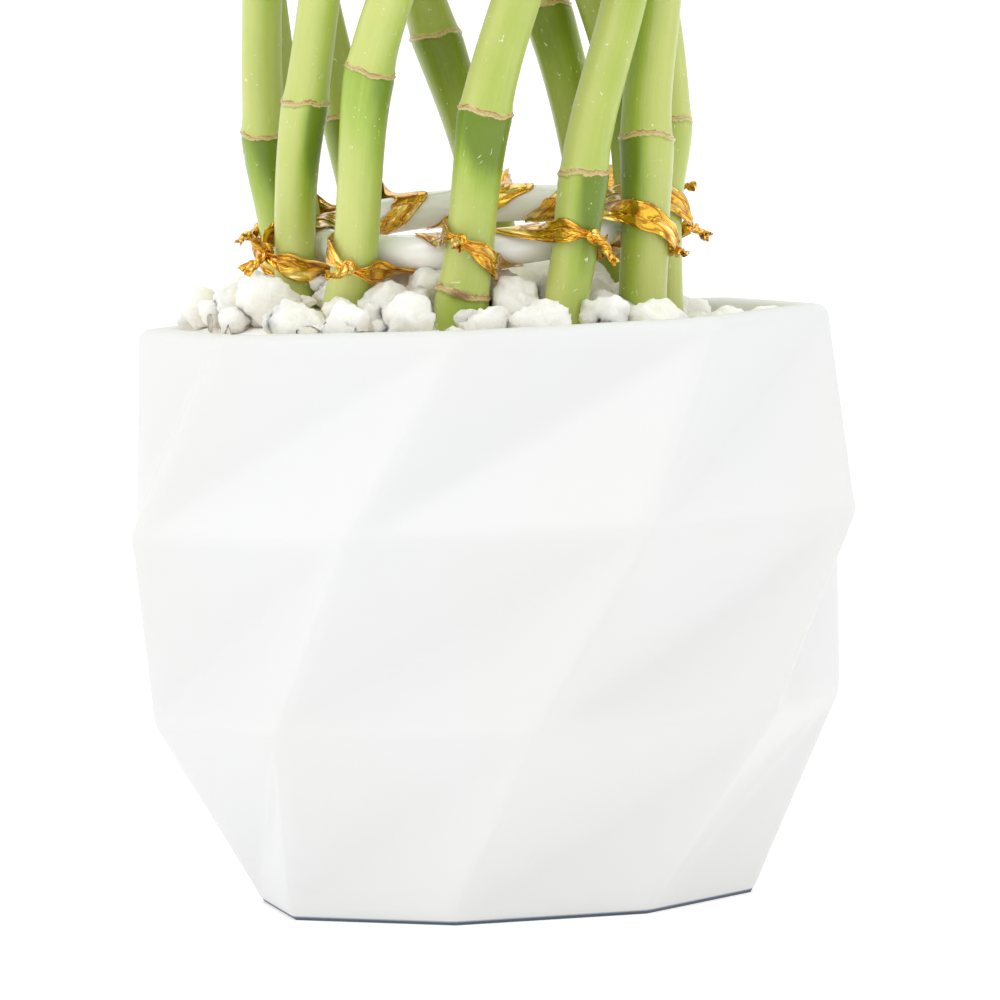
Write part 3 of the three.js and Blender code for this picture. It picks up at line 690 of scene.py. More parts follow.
@dataclass
class Pot:
    """The twisted eight-sided pot, with its edges rounded by the glaze."""

    sides: int = 8
    height: float = 112.5
    band: float = 37.0
    radii: tuple[float, ...] = (49.5, 67.2, 75.0, 67.2)
    base_turn: float = -56.7
    twist: float = 17.7
    wall: float = 7.5
    floor: float = 8.0
    edge: float = 1.5
    splits: int = 30
    softening: int = 4

    def ring(self, z: float, inset: float = 0.0) -> tuple[float, float]:
        """The pot's outline at a height.

        Args:
            z: The height.
            inset: How far inside the outer face.

        Returns:
            The ring's radius and turn.
        """
        step = min(max(z / self.band, 0.0), len(self.radii) - 1.0)
        below = min(int(step), len(self.radii) - 2)
        radius = self.radii[below] + (self.radii[below + 1] - self.radii[below]) * (step - below)
        return radius - inset, self.base_turn + self.twist * step

    def profile(self) -> list[tuple[float, float, float]]:
        """The rings from the foot's middle, up the outside and down the hollow to its floor's middle.

        Returns:
            A radius, a turn and a height for each ring.
        """
        low, high = self.band, 2 * self.band
        mouth = self.ring(self.height, self.wall - self.edge / 2)
        outside = [
            (*self.ring(0, self.edge), 0.0),
            (*self.ring(0), self.edge),
            (*self.ring(low), low),
            (*self.ring(high), high),
            (*self.ring(self.height), self.height - self.edge),
            (*self.ring(self.height, self.edge), self.height),
        ]
        inside = [
            (*mouth, self.height),
            (*self.ring(self.height, self.wall), self.height - self.edge),
            (*self.ring(high, self.wall), high),
            (*self.ring(low, self.wall), low),
            (*self.ring(self.floor, self.wall), self.floor),
        ]
        return outside + inside

    def limit(self, places: np.ndarray, inset: float) -> np.ndarray:
        """Points drawn in where they would reach past the hollow's wall.

        Args:
            places: The points.
            inset: How far inside the outer face they stay.

        Returns:
            The points, inside the wall.
        """
        steps = np.clip(places[:, 2] / self.band, 0, len(self.radii) - 1)
        radius = np.interp(steps, range(len(self.radii)), self.radii) - inset
        turn = self.base_turn + self.twist * steps
        here = np.degrees(np.arctan2(places[:, 0], -places[:, 1]))
        half = 180 / self.sides
        off = (here - turn) % (2 * half) - half
        reach = radius * math.cos(math.radians(half)) / np.cos(np.radians(off))
        far = np.hypot(places[:, 0], places[:, 1])
        share = np.minimum(1, reach / np.maximum(far, 1e-6))
        return places * np.stack([share, share, np.ones_like(share)], axis=1)

    def fine(self, profile: list[tuple[float, float, float]]) -> np.ndarray:
        """The rings of a profile, split so that every side and every band of facets has a fine grid.

        Args:
            profile: A radius, a turn and a height for each ring.

        Returns:
            Points as rings by corners by 3.
        """
        turns = 360 / self.sides * np.arange(self.sides + 1)
        along = np.arange(self.splits) / self.splits
        rings = []
        for number, (below, above) in enumerate(zip(profile, profile[1:])):
            low = polar(below[0], below[1] + turns, below[2])
            high = polar(above[0], above[1] + turns, above[2])
            climb = math.dist(low[0], high[0])
            steps = max(2, round(self.splits * min(1.0, climb / self.band)))
            last = number == len(profile) - 2
            rises = np.linspace(0, 1, steps + last, endpoint=last)[:, None, None, None]
            share = along[None, None, :, None]
            a, b = low[None, :-1, None], low[None, 1:, None]
            c, d = high[None, :-1, None], high[None, 1:, None]
            if number < len(profile) // 2:
                standing = a + (b - a) * share + (d - b) * rises
                hanging = a + (c - a) * rises + (d - c) * share
                grid = np.where(share >= rises, standing, hanging)
            else:
                standing = a + (b - a) * share + (c - a) * rises
                hanging = d + (c - d) * (1 - share) + (b - d) * (1 - rises)
                grid = np.where(share + rises <= 1, standing, hanging)
            rings.append(grid.reshape(len(rises), -1, 3))
        return np.concatenate(rings)

    def build(self) -> None:
        """Builds the pot, with every edge softened as glaze softens it."""
        rings = self.fine(self.profile())
        for _ in range(self.softening):
            around = (np.roll(rings, 1, axis=1) + np.roll(rings, -1, axis=1)) / 2
            along = (rings[2:] + rings[:-2]) / 2
            rings[1:-1] = (rings[1:-1] + (around[1:-1] + along) / 2) / 2
        middles = [rings[[row]] * np.array([share, share, 1]) for row in (0, -1) for share in (0.5, 0.02)]
        rings = np.concatenate([middles[1], middles[0], rings, middles[2], middles[3]])
        shape = Shape()
        shape.sleeve(rings, {})
        hand_in(shape.build("pot_glazed"), Glaze().material(), Slot.POT, "pot")


@dataclass
class Hoop:
    """A round plastic tube that the canes are tied to."""

    name: str
    height: float
    back_rise: float
    right_rise: float
    radius: float = 28.8
    tube: float = 3.55
    steps: int = 144
    sides: int = 32

    def turned(self, places: np.ndarray) -> np.ndarray:
        """Points of the flat hoop, tilted as it is tied.

        Args:
            places: Points about the hoop's middle.

        Returns:
            The tilted points.
        """
        a, b = math.radians(self.back_rise), -math.radians(self.right_rise)
        about_x = np.array([[1, 0, 0], [0, math.cos(a), -math.sin(a)], [0, math.sin(a), math.cos(a)]])
        about_y = np.array([[math.cos(b), 0, math.sin(b)], [0, 1, 0], [-math.sin(b), 0, math.cos(b)]])
        return places @ (about_x @ about_y).T

    @property
    def axis(self) -> np.ndarray:
        """The direction through the hoop's hole."""
        return self.turned(np.array([0.0, 0.0, 1.0]))

    def build(self, material: bpy.types.Material) -> None:
        """Builds the tube.

        Args:
            material: Its finish.
        """
        turns = 360 / self.steps * np.arange(self.steps)
        corners = np.radians(360 / self.sides * np.arange(self.sides))
        reach = self.radius + self.tube * np.cos(corners)
        sections = polar(reach, turns[:, None], -self.tube * np.sin(corners))
        places = self.turned(sections) + np.array([CAGE_X, 0, self.height])
        shape = Shape()
        shape.sleeve(places, {}, ring=True)
        hand_in(shape.build(f"{self.name}_tube"), material, Slot.HOOP, self.name)


LOWER_HOOP = Hoop("hoop_lower", 129.5, 6.8, 2.3)
UPPER_HOOP = Hoop("hoop_upper", 290.0, -2.0, -1.5)
ROWS_BY_A_RING = [-6, -4.4, -3, -2, -1.4, -1.0, -0.75, -0.55, -0.4, -0.25, -0.12]
ROWS_BY_A_RING += [0, 0.15, 0.3, 0.45, 0.6, 0.8, 1.05, 1.5, 2.2, 3.4, 5, 6]


@dataclass
class Perch:
    """Where a cane leans on a hoop."""

    point: np.ndarray
    outward: np.ndarray
    along: np.ndarray
    axis: np.ndarray

    @property
    def radius(self) -> float:
        """The distance of the cane's middle from the pot's axis."""
        return float(np.hypot(self.point[0], self.point[1]))


@dataclass
class Cane:
    """One cut cane, with its node rings, its ties and its own way round the cage.

    Its turns are those at the gravel, at the lower hoop, at its first full node ring and at the sight height.
    Green is how deep its skin's own green is under a ring, and shadow_side the turn of the side where shade is
    painted.
    One_sided is how far the deep green keeps to that side, painted_shade how much painted shade darkens that
    side all the way up, and olive its share of yellow-brown, which on the back canes is partly painted shade.
    """

    index: int
    turns: tuple[float, float, float, float]
    node: float
    width: float
    low_node: float | None = None
    green: float = 0.6
    # Painted shade: the side it darkens, how far the deep green keeps to it and how dark it is all the way up
    shadow_side: float = 40.0
    one_sided: float = 0.3
    painted_shade: float = 0.3
    olive: float = 0.05
    has_bud: bool = False
    foot: float = 28.0
    surface: float = 113.0
    sight_height: float = 173.0
    cage_radius: float = 39.0
    stub: float = 9.0
    sides: int = 40
    top_node: float = 300.0
    top_spread: float = 6.0
    top_phase: float = 40.0
    top_phase_step: float = 60.0
    first_top_turn: float = 72.0
    top_step: float = 30.0
    waist: float = 0.06
    swelling: float = 0.1
    lip: float = 0.26
    lip_half: float = 0.36
    flare: float = 0.3
    flare_length: float = 1.5
    groove: float = 0.12
    groove_drop: float = 0.85
    groove_half: float = 0.3
    oval: float = 0.018
    ring_slants: tuple[float, float] = (0.3, 0.9)
    ring_wave: float = 0.22
    ring_ripple: float = 0.14
    cut_edge: float = 0.5
    cut_bevel: float = 0.4
    low_green: float = 0.25
    low_scar: float = 1.3
    grain_shift: float = 90.0
    bud_half: tuple[float, float] = (1.7, 0.85)
    bud_height: float = 1.1
    scar_lines: tuple[float, float] = (0.8, 0.9)
    row_pitch: float = 3.2
    waist_heights: tuple[float, float] = (185.0, 235.0)
    foot_leans: tuple[float, float] = (1.0, 0.4)

    @property
    def number(self) -> str:
        """The cane's number, as its nodes' names end."""
        return f"{self.index + 1:02d}"

    @property
    def top_turn(self) -> float:
        """The turn at the upper hoop."""
        return self.first_top_turn + self.top_step * self.index

    @property
    def nodes(self) -> list[float]:
        """The heights of the node rings, from the lowest."""
        phase = math.radians(self.top_phase_step * self.index + self.top_phase)
        top = self.top_node + self.top_spread * math.sin(phase)
        count = round((top - self.node) / INTERNODE)
        above = [self.node + (k + 1) * (top - self.node) / count for k in range(count)]
        return ([self.low_node] if self.low_node else []) + [self.node] + above

    @property
    def end(self) -> float:
        """The height of the cut top."""
        return self.nodes[-1] + self.stub

    def perch(self, hoop: Hoop, turn: float) -> Perch:
        """Where the cane leans on a hoop.

        Args:
            hoop: The hoop.
            turn: The turn there.

        Returns:
            The point on the cane's middle line and the directions there.
        """
        axis = hoop.axis
        outward = polar(1.0, turn, 0.0)
        outward = unit(outward - axis * (outward @ axis))
        reach = hoop.radius + hoop.tube + CLEARANCE + self.width / 2
        return Perch(outward * reach + np.array([0, 0, hoop.height]), outward, np.cross(axis, outward), axis)

    def line(self, z: np.ndarray) -> np.ndarray:
        """The cane's middle line.

        Args:
            z: Heights.

        Returns:
            The points at those heights.
        """
        lower = self.perch(LOWER_HOOP, self.turns[1])
        upper = self.perch(UPPER_HOOP, self.top_turn)
        low, high = lower.point[2], upper.point[2]
        heights = [self.foot, self.surface, low, self.node, *self.waist_heights, high, high + INTERNODE]
        climb = (self.top_turn - self.turns[3]) / (high - self.sight_height)
        above = [self.turns[3] + climb * (height - self.sight_height) for height in heights[4:]]
        turns = [self.turns[0], *self.turns[:3], *above]
        standing = [*(lower.radius - lean for lean in self.foot_leans), lower.radius]
        radii = [*standing, *[self.cage_radius] * 3, upper.radius, upper.radius]
        z = np.asarray(z, float)
        return polar(between(heights, radii, z), between(heights, turns, z), z) + np.array([CAGE_X, 0, 0])

    def share(self, z: np.ndarray) -> np.ndarray:
        """How far up its internode a height is, from 0 above a node ring to 1 under the next.

        Args:
            z: Heights.

        Returns:
            Shares from 0 to 1.
        """
        rings = np.array([self.nodes[0] - INTERNODE, *self.nodes, self.nodes[-1] + INTERNODE])
        i = np.clip(np.searchsorted(rings, z, side="right") - 1, 0, len(rings) - 2)
        return np.clip((z - rings[i]) / (rings[i + 1] - rings[i]), 0, 1)

    def half(self, z: np.ndarray) -> np.ndarray:
        """Half the cane's thickness: widest under each node ring."""
        share = self.share(z)
        return self.width / 2 * (1 - self.waist * np.sin(math.pi * share) + self.swelling * share**4)

    def bend(self, across: np.ndarray, z: np.ndarray) -> np.ndarray:
        """Sets points of a straight cane on the bent one.

        Args:
            across: Offsets to the side and to the back, as an array with a last axis of 2.
            z: Heights.

        Returns:
            The places.
        """
        rise = unit(self.line(z + 0.5) - self.line(z - 0.5))
        back = unit(np.array([0.0, 1.0, 0.0]) - rise * rise[..., 1:2])
        side = np.cross(back, rise)
        return self.line(z) + side * across[..., :1] + back * across[..., 1:]

    def ring_line(self, number: int, turn: np.ndarray) -> np.ndarray:
        """How far a slanting, wavy node ring lies above its mean height.

        Args:
            number: Which ring.
            turn: Angles round the cane, in radians.

        Returns:
            The rise at each angle.
        """
        seed = 31 * self.index + 7 * number
        slant = scatter_in(self.ring_slants, seed) * np.cos(turn - WHOLE_TURN * scatter(seed + 1))
        wave = self.ring_wave * np.sin(3 * turn + WHOLE_TURN * scatter(seed + 2))
        ripple = self.ring_ripple * np.sin(7 * turn + WHOLE_TURN * scatter(seed + 3))
        return slant + (wave + ripple)

    def depth(self, z: np.ndarray, turn: np.ndarray) -> np.ndarray:
        """How deep the skin's green is: deepest under a node ring, with painted shade added all the way up the
        shadow side.

        Args:
            z: Heights.
            turn: Angles round the cane, in radians.

        Returns:
            The depth, from 0 to about 1.
        """
        side = smoothstep(0.05, 0.95, np.cos(turn - math.radians(self.shadow_side)))
        green = self.green * np.where(z < (self.low_node or 0), self.low_green, 1.0)
        under = green * smoothstep(0.4, 1.0, self.share(z)) ** 1.3
        # Painted shade down the shadow side, added to the skin's own green under the ring
        return under * (1 - self.one_sided * (1 - side)) + self.painted_shade * side

    def bud(self, turn: np.ndarray, z: np.ndarray) -> np.ndarray:
        """The dry bud on the lowest node ring, where there is one.

        Args:
            turn: Angles round the cane, in radians.
            z: Heights.

        Returns:
            How much of the bud is at each place, from 0 to 1.
        """
        if not self.has_bud:
            return np.zeros(z.shape)
        aside = (turn + math.radians(6)) * self.width / 2
        aside = np.where(turn > math.pi, aside - math.pi * self.width, aside)
        speckle = 0.8 + 0.2 * np.sin(23 * turn + 5 * z) * np.sin(9 * z)
        rise = z - self.nodes[0] + 0.1
        return speckle * np.exp(-((aside / self.bud_half[0]) ** 4) - (rise / self.bud_half[1]) ** 4)

    def old_scar(self, turn: np.ndarray, z: np.ndarray) -> np.ndarray:
        """The brown blotches along an old ring near the gravel.

        Args:
            turn: Angles round the cane, in radians.
            z: Heights on the straight cane.

        Returns:
            How much of the brown is at each place, from 0 to 1.
        """
        if not self.low_node:
            return np.zeros(np.broadcast_shapes(turn.shape, z.shape))
        blotch = np.sin(9 * turn + self.index) + np.sin(14 * turn + 2)
        blotch = blotch + 1.2 * np.sin(5 * turn + 3 * self.index)
        rise = z - self.low_node
        upper = np.exp(-(((rise - self.scar_lines[0] - 0.12 * np.sin(8 * turn)) / 0.24) ** 2))
        lower = np.exp(-(((rise + self.scar_lines[1] - 0.15 * np.sin(11 * turn)) / 0.3) ** 2))
        return 0.5 * (smoothstep(-1.2, 1.0, blotch) * upper + smoothstep(-0.4, 1.4, -blotch) * lower)

    def stations(self) -> np.ndarray:
        """The heights of the mesh's rings, close together at the node rings.

        Returns:
            Rising heights.
        """
        close = [node + offset for node in self.nodes for offset in ROWS_BY_A_RING]
        edge = self.end - self.cut_edge
        plain = np.arange(self.foot, edge, self.row_pitch)
        apart = [z for z in plain if min(abs(z - node) for node in self.nodes) > ROWS_BY_A_RING[-1] + 0.5]
        return np.array(sorted(z for z in [*close, *apart, edge, self.end] if z <= self.end))

    def build(self, material: bpy.types.Material) -> None:
        """Builds the cane.

        Args:
            material: Its finish.
        """
        turn = np.radians(360 / self.sides * np.arange(self.sides))[None, :]
        flat = self.stations()[:, None]
        nodes = np.array(self.nodes)
        nearest = np.argmin(np.abs(flat - nodes), axis=1)
        gap = flat - nodes[nearest][:, None]
        shift = np.stack([self.ring_line(int(number), turn[0]) for number in nearest])
        z = np.clip(flat + shift * smoothstep(7, 1.5, np.abs(gap)), self.foot, self.end)
        gap = np.broadcast_to(gap, z.shape)
        rough = 1 + 0.3 * np.sin(11 * turn + nearest[:, None]) * np.sin(4 * turn + 2 * nearest[:, None])
        lip = self.lip * rough * np.exp(-(((gap - 0.05) / self.lip_half) ** 2))
        above = np.maximum(gap - 0.3, 0)
        flare = self.flare * np.exp(-above / self.flare_length) * smoothstep(0.0, 0.4, gap)
        groove = self.groove * np.exp(-(((gap + self.groove_drop) / self.groove_half) ** 2))
        oval = 1 + self.oval * np.cos(2 * turn + self.index)
        low = (nearest == 0)[:, None] & bool(self.low_node)
        bud = self.bud(turn, z)
        radius = self.half(flat) * oval + lip + flare - groove + self.bud_height * bud
        cut = np.broadcast_to(flat > self.end - self.cut_edge / 2, z.shape)
        radius = np.where(cut, radius - self.cut_bevel, radius)
        across = np.stack([radius * np.sin(turn), -radius * np.cos(turn)], axis=-1)
        grain = np.concatenate([across, (z + self.grain_shift * self.index)[..., None]], axis=-1)
        traits = {
            Trait.TONE: self.olive,
            Trait.GREEN_AND_SHADE: self.depth(flat, turn),
            Trait.RING: np.clip(gap, -9, 9) / np.where(low, self.low_scar, 1.0),
            Trait.NEAR: smoothstep(6, 4, np.abs(gap)),
            Trait.BUD: np.maximum(bud, self.old_scar(turn, flat)),
            Trait.GRAIN: grain,
            Trait.PART: cut.astype(float),
        }
        shape = Shape()
        shape.sleeve(self.bend(across, z), traits)
        hand_in(shape.build(f"cane_{self.number}_bark"), material, Slot.CANE, f"cane_{self.number}")


# Number, turns, first full ring, width and low ring, then green, shadow_side, one_sided, painted_shade, olive
# and bud
CANES = [
    Cane(0, (-4, -1, 5.5, 16), 152.7, 9.8, 118.5, 1.6, 42, 0.35, 0.25, 0.14, True),
    Cane(1, (28, 32, 34, 55), 140.2, 9.0, None, 1.15, 58, 0.85, 0.25, 0.16),
    Cane(2, (60, 62.5, 61, 76), 145.8, 9.6, None, 0.8, -70, 0.9, 0.5, 0.2),
    Cane(3, (86, 90, 92, 108), 149, 8.2, None, 0.5, -60, 0.6, 0.25, 0.12),
    # Canes 5 to 9 stand at the back: their larger olive share is partly their own tone and partly painted
    # shade
    Cane(4, (112, 118, 127, 139), 154, 8.6, None, 0.75, -30, 0.3, 0.25, 0.4),
    Cane(5, (134, 140, 155, 156), 170.8, 9.2, 122, 0.75, 0, 0.3, 0.25, 0.4),
    Cane(6, (171, 175, 188, 191), 166.4, 9.4, 120, 0.75, 10, 0.3, 0.25, 0.4),
    Cane(7, (212, 215, 218, 224), 151.4, 8.4, None, 0.9, 20, 0.3, 0.3, 0.45),
    Cane(8, (240, 243, 249, 255), 156, 8.6, 114, 0.75, 30, 0.3, 0.25, 0.35),
    Cane(9, (267, 270, 272, 282), 149.3, 8.0, None, 1.1, 45, 0.3, 0.2, 0.1),
    Cane(10, (290, 293, 309, 315), 155.5, 8.2, None, 1.2, 72, 1.0, 0.3, 0.08),
    Cane(11, (318, 323, 333, 340), 161, 9.0, 115.3, 0.6, 72, 0.1, 0.3, 0.0),
]


@dataclass(frozen=True)
class TieStyle:
    """How a cane's tie is tied.

    The slant is its angle to the hoop, and the lift how far it climbs the cane for each millimetre outwards.
    The knot is the turn of its knot round the cane from the outward way. Each tail has a heading and a rise.
    """

    slant: float
    lift: float
    knot: float
    tails: tuple[tuple[float, float], ...]


UPPER_TIE_SLANT = 34.0
TIE_STYLES = [
    TieStyle(34, 0.24, -22, ((-2, 5),)),
    TieStyle(26, 0.16, -4, ((6, -30),)),
    TieStyle(40, -0.1, 64, ((-38, -10),)),
    TieStyle(48, -0.1, 30, ((46, -20),)),
    TieStyle(34, 0, -32, ((-40, 12),)),
    TieStyle(38, 0, 25, ((38, -20),)),
    TieStyle(30, 0.1, -28, ((-12, -30),)),
    TieStyle(36, 0, 35, ((24, 8),)),
    TieStyle(32, 0.1, -20, ((-34, -15),)),
    TieStyle(36, 0, -42, ((-50, -28),)),
    TieStyle(34, 0.1, -4, ((34, 25), (16, -30))),
    TieStyle(28, 0.1, 28, ((4, -5),)),
]


@dataclass
class Tie:
    """A foil band round a cane and a hoop, gathered in a knot with twisted tails that fan out."""

    name: str
    cane: Cane
    hoop: Hoop
    turn: float
    side: int
    style: TieStyle
    width: float = 4.3
    slack: float = 0.4
    room: float = 0.3
    foil: float = 0.14
    knot_out: float = 1.2
    knot_halves: tuple[float, float, float] = (1.5, 1.15, 1.6)
    steps: int = 96
    columns: int = 15
    loop_points: int = 60
    gathered: float = 0.68
    gather_reach: tuple[float, float] = (0.6, 6.0)
    waver: float = 0.35
    puff: float = 0.08
    knot_puff: float = 0.5
    edge_curl: float = 0.3
    fold_count: float = 2.2
    minor_count: float = 5.2
    fold_heights: tuple[float, float] = (0.16, 0.75)
    minor_heights: tuple[float, float] = (0.03, 0.3)
    crease_height: float = 0.1
    knot_rows: int = 16
    knot_sides: int = 24
    tail_rows: int = 48
    tail_sides: int = 24
    tail_lengths: tuple[float, float] = (6.2, 7.4)
    tail_thickness: float = 1.0
    twist_pitches: tuple[float, float] = (4.2, 5.4)
    strands: tuple[float, float] = (0.42, 0.58)

    @property
    def seed(self) -> float:
        """What the tie's folds follow from."""
        return 7 * self.cane.index + self.hoop.height

    def build(self, material: bpy.types.Material) -> None:
        """Builds the band, its knot and its tails.

        Args:
            material: Its finish.
        """
        perch = self.cane.perch(self.hoop, self.turn)
        point = perch.point + np.array([CAGE_X, 0, 0])
        half = float(self.cane.half(np.array(point[2])))
        slant = math.radians(self.style.slant)
        band = perch.along * math.cos(slant) - perch.axis * math.sin(slant)
        width = np.cross(band, perch.outward)
        climb = self.cane.line(np.array(point[2] + 1)) - self.cane.line(np.array(point[2] - 1))
        lean = (climb @ band / (climb @ width), climb @ perch.outward / (climb @ width))
        axes = np.stack([band, perch.outward, width])
        origin = point - perch.outward * (half + CLEARANCE / 2)
        across = half * math.hypot(1, lean[0]) + self.slack
        outward = half * math.hypot(1, lean[1]) + self.slack
        turn = math.radians(self.side * self.style.knot)
        away = np.array([math.sin(turn), math.cos(turn), 0.0])
        middle = np.array([0.0, half + CLEARANCE / 2, 0.0])
        flat_knot = away * (np.array([across, outward, 0.0]) + self.knot_out) + middle
        knot = self._climbed(*flat_knot, lean)
        shape = Shape()
        sections, grain = self._band(half, across, outward, lean, flat_knot)
        shape.sleeve(sections @ axes + origin, {Trait.GRAIN: grain}, ring=True)
        lump, grain = self._lump(away)
        shape.sleeve((lump + knot) @ axes + origin, {Trait.GRAIN: grain})
        for number, (heading, rise) in enumerate(self.style.tails):
            ahead = self._ahead(self.side * math.radians(heading), math.radians(rise))
            tail, grain = self._tail(ahead, self.seed + 5 * number)
            shape.sleeve((tail + knot) @ axes + origin, {Trait.GRAIN: grain})
        node = f"tie_{self.name}_{self.cane.number}"
        hand_in(shape.build(f"{node}_foil"), material, Slot.FOIL, node)

    def _climbed(self, u: np.ndarray, v: np.ndarray, z: np.ndarray, lean: tuple[float, float]) -> np.ndarray:
        """Points of the band's own plane, slid along the leaning cane."""
        w = z - self.style.lift * np.maximum(v, 0)
        return np.stack([u + w * lean[0], v + w * lean[1], w + 0 * u], axis=-1)

    def _ahead(self, heading: float, rise: float) -> np.ndarray:
        """The direction of a tail, in the tie's own frame.

        Args:
            heading: Its turn from the outward direction, in radians.
            rise: Its angle above the hoop's plane, in radians.

        Returns:
            A unit vector.
        """
        slant = math.radians(self.style.slant)
        along, down = math.cos(rise) * math.sin(heading), -math.sin(rise)
        u = along * math.cos(slant) + down * math.sin(slant)
        w = down * math.cos(slant) - along * math.sin(slant)
        return np.array([u, math.cos(rise) * math.cos(heading), w])

    def _loop(
        self, half: float, across: float, outward: float, offset: float
    ) -> tuple[np.ndarray, np.ndarray, float]:
        """The outline round the cane and the tube, in the tie's own plane.

        Args:
            half: Half the cane's thickness.
            across: Half the loop's width along the band.
            outward: Half its width outwards.
            offset: How far it stands off.

        Returns:
            The points, evenly spaced, the outward direction at each, and their spacing.
        """
        angles = np.linspace(0, math.pi, self.loop_points)
        reach = self.hoop.tube / math.sin(math.radians(self.style.slant))
        cane = np.stack([(across + offset) * np.cos(angles), (outward + offset) * np.sin(angles)], axis=1)
        cane[:, 1] += half + CLEARANCE / 2
        back = self.hoop.tube + offset
        tube = np.stack([-(reach + offset) * np.cos(angles), -back * np.sin(angles)], axis=1)
        tube[:, 1] -= self.hoop.tube + CLEARANCE / 2
        outline = np.concatenate([cane, tube, cane[:1]])
        gone = np.concatenate([[0], np.cumsum(np.linalg.norm(np.diff(outline, axis=0), axis=1))])
        wanted = np.linspace(0, gone[-1], self.steps, endpoint=False)
        points = np.stack([np.interp(wanted, gone, outline[:, axis]) for axis in (0, 1)], axis=1)
        ahead = np.roll(points, -1, axis=0) - np.roll(points, 1, axis=0)
        out = unit(np.stack([ahead[:, 1], -ahead[:, 0]], axis=1))
        return points, out, gone[-1] / self.steps

    def _band(
        self, half: float, across: float, outward: float, lean: tuple[float, float], knot: np.ndarray
    ) -> tuple[np.ndarray, np.ndarray]:
        """The band, with folds that run lengthwise and gather at its knot.

        Args:
            half: Half the cane's thickness.
            across: Half the loop's width along the band.
            outward: Half its width outwards.
            lean: How far the cane runs along and out for each step across the band.
            knot: The knot's place.

        Returns:
            Sections in the tie's own frame, and the place of each corner on the flat foil.
        """
        points, out, pitch = self._loop(half, across, outward, self.room)
        start = int(np.argmin(np.linalg.norm(points - knot[:2], axis=1)))
        count = (np.arange(self.steps) - start + self.steps // 2) % self.steps - self.steps // 2
        along = (count * pitch)[:, None]
        away = np.abs(along)
        gather = 1 - smoothstep(*self.gather_reach, away)
        seed = self.seed
        wide = (self.width + self.waver * np.sin(0.7 * along + seed)) * (1 - self.gathered * gather)
        column = np.linspace(-0.5, 0.5, self.columns)[None, :]
        drift = 0.5 * np.sin(0.35 * along + seed) + scatter(seed)
        folds = 1 - np.abs(np.sin(math.pi * (self.fold_count * column + drift)))
        minor = 1 - np.abs(np.sin(math.pi * (self.minor_count * column - 1.3 * drift + 0.3)))
        crease = 1 - np.abs(np.sin(0.9 * along + 5 * column + 2 * seed))
        fold_height = self.fold_heights[0] + self.fold_heights[1] * gather
        minor_height = self.minor_heights[0] + self.minor_heights[1] * gather
        puff = self.puff + fold_height * folds + minor_height * minor
        puff = puff + self.crease_height * crease**3
        puff = puff + self.knot_puff * gather + self.edge_curl * (2 * column) ** 4 * scatter(seed + 2)
        z = wide * (column + 0.03 * np.sin(1.1 * along + seed) * (1 - gather))
        layers = []
        for lift in (puff + self.foil, puff):
            u = points[:, :1] + out[:, :1] * lift
            v = points[:, 1:] + out[:, 1:] * lift
            layers.append(self._drape(u, v, z, lean, half))
        grain = np.stack([along + 0 * z, self.width * column + 0 * z, seed + 0 * z], axis=-1)
        sections = np.concatenate([layers[0], layers[1][:, ::-1]], axis=1)
        return sections, np.concatenate([grain, grain[:, ::-1]], axis=1)

    def _drape(
        self, u: np.ndarray, v: np.ndarray, z: np.ndarray, lean: tuple[float, float], half: float
    ) -> np.ndarray:
        """Lays the band along the leaning cane on one side and along the round tube on the other.

        Args:
            u: Places along the band.
            v: Places outwards.
            z: Places across the band's width.
            lean: How far the cane runs along and out for each step across the band.
            half: Half the cane's thickness.

        Returns:
            The draped points.
        """
        slant = math.radians(self.style.slant)
        share = smoothstep(-self.hoop.tube, half, v)
        tube_u = u - z / math.tan(slant)
        along = tube_u * math.cos(slant) - z * math.sin(slant)
        tube_v = v - along**2 / (2 * self.hoop.radius)
        on_tube = np.stack([tube_u, tube_v, z + 0 * u], axis=-1)
        on_cane = self._climbed(u, v, z, lean)
        return on_tube + (on_cane - on_tube) * share[..., None]

    def _lump(self, away: np.ndarray) -> tuple[np.ndarray, np.ndarray]:
        """The tight knot, a small lump with wound grooves.

        Args:
            away: The direction from the cane to the knot.

        Returns:
            Sections about its middle, and the place of each corner on the flat foil.
        """
        rise = np.linspace(0.02, math.pi - 0.02, self.knot_rows)[:, None]
        turn = np.linspace(0, 2 * math.pi, self.knot_sides, endpoint=False)[None, :]
        wound = 1 + 0.13 * np.sin(3 * turn + 4 * rise + self.seed) + 0.06 * np.sin(7 * turn - 3 * rise)
        long, deep, high = self.knot_halves
        x, y = np.sin(rise) * np.cos(turn) * wound * long, np.sin(rise) * np.sin(turn) * wound * deep
        z = -np.cos(rise) * high + 0 * turn
        side = np.array([away[1], -away[0], 0.0])
        up = np.array([0.0, 0.0, 1.0])
        grain = np.stack([3 * rise + 0 * turn, 1.5 * turn + 0 * rise, self.seed + 0 * z], axis=-1)
        return x[..., None] * side + y[..., None] * away + z[..., None] * up, grain

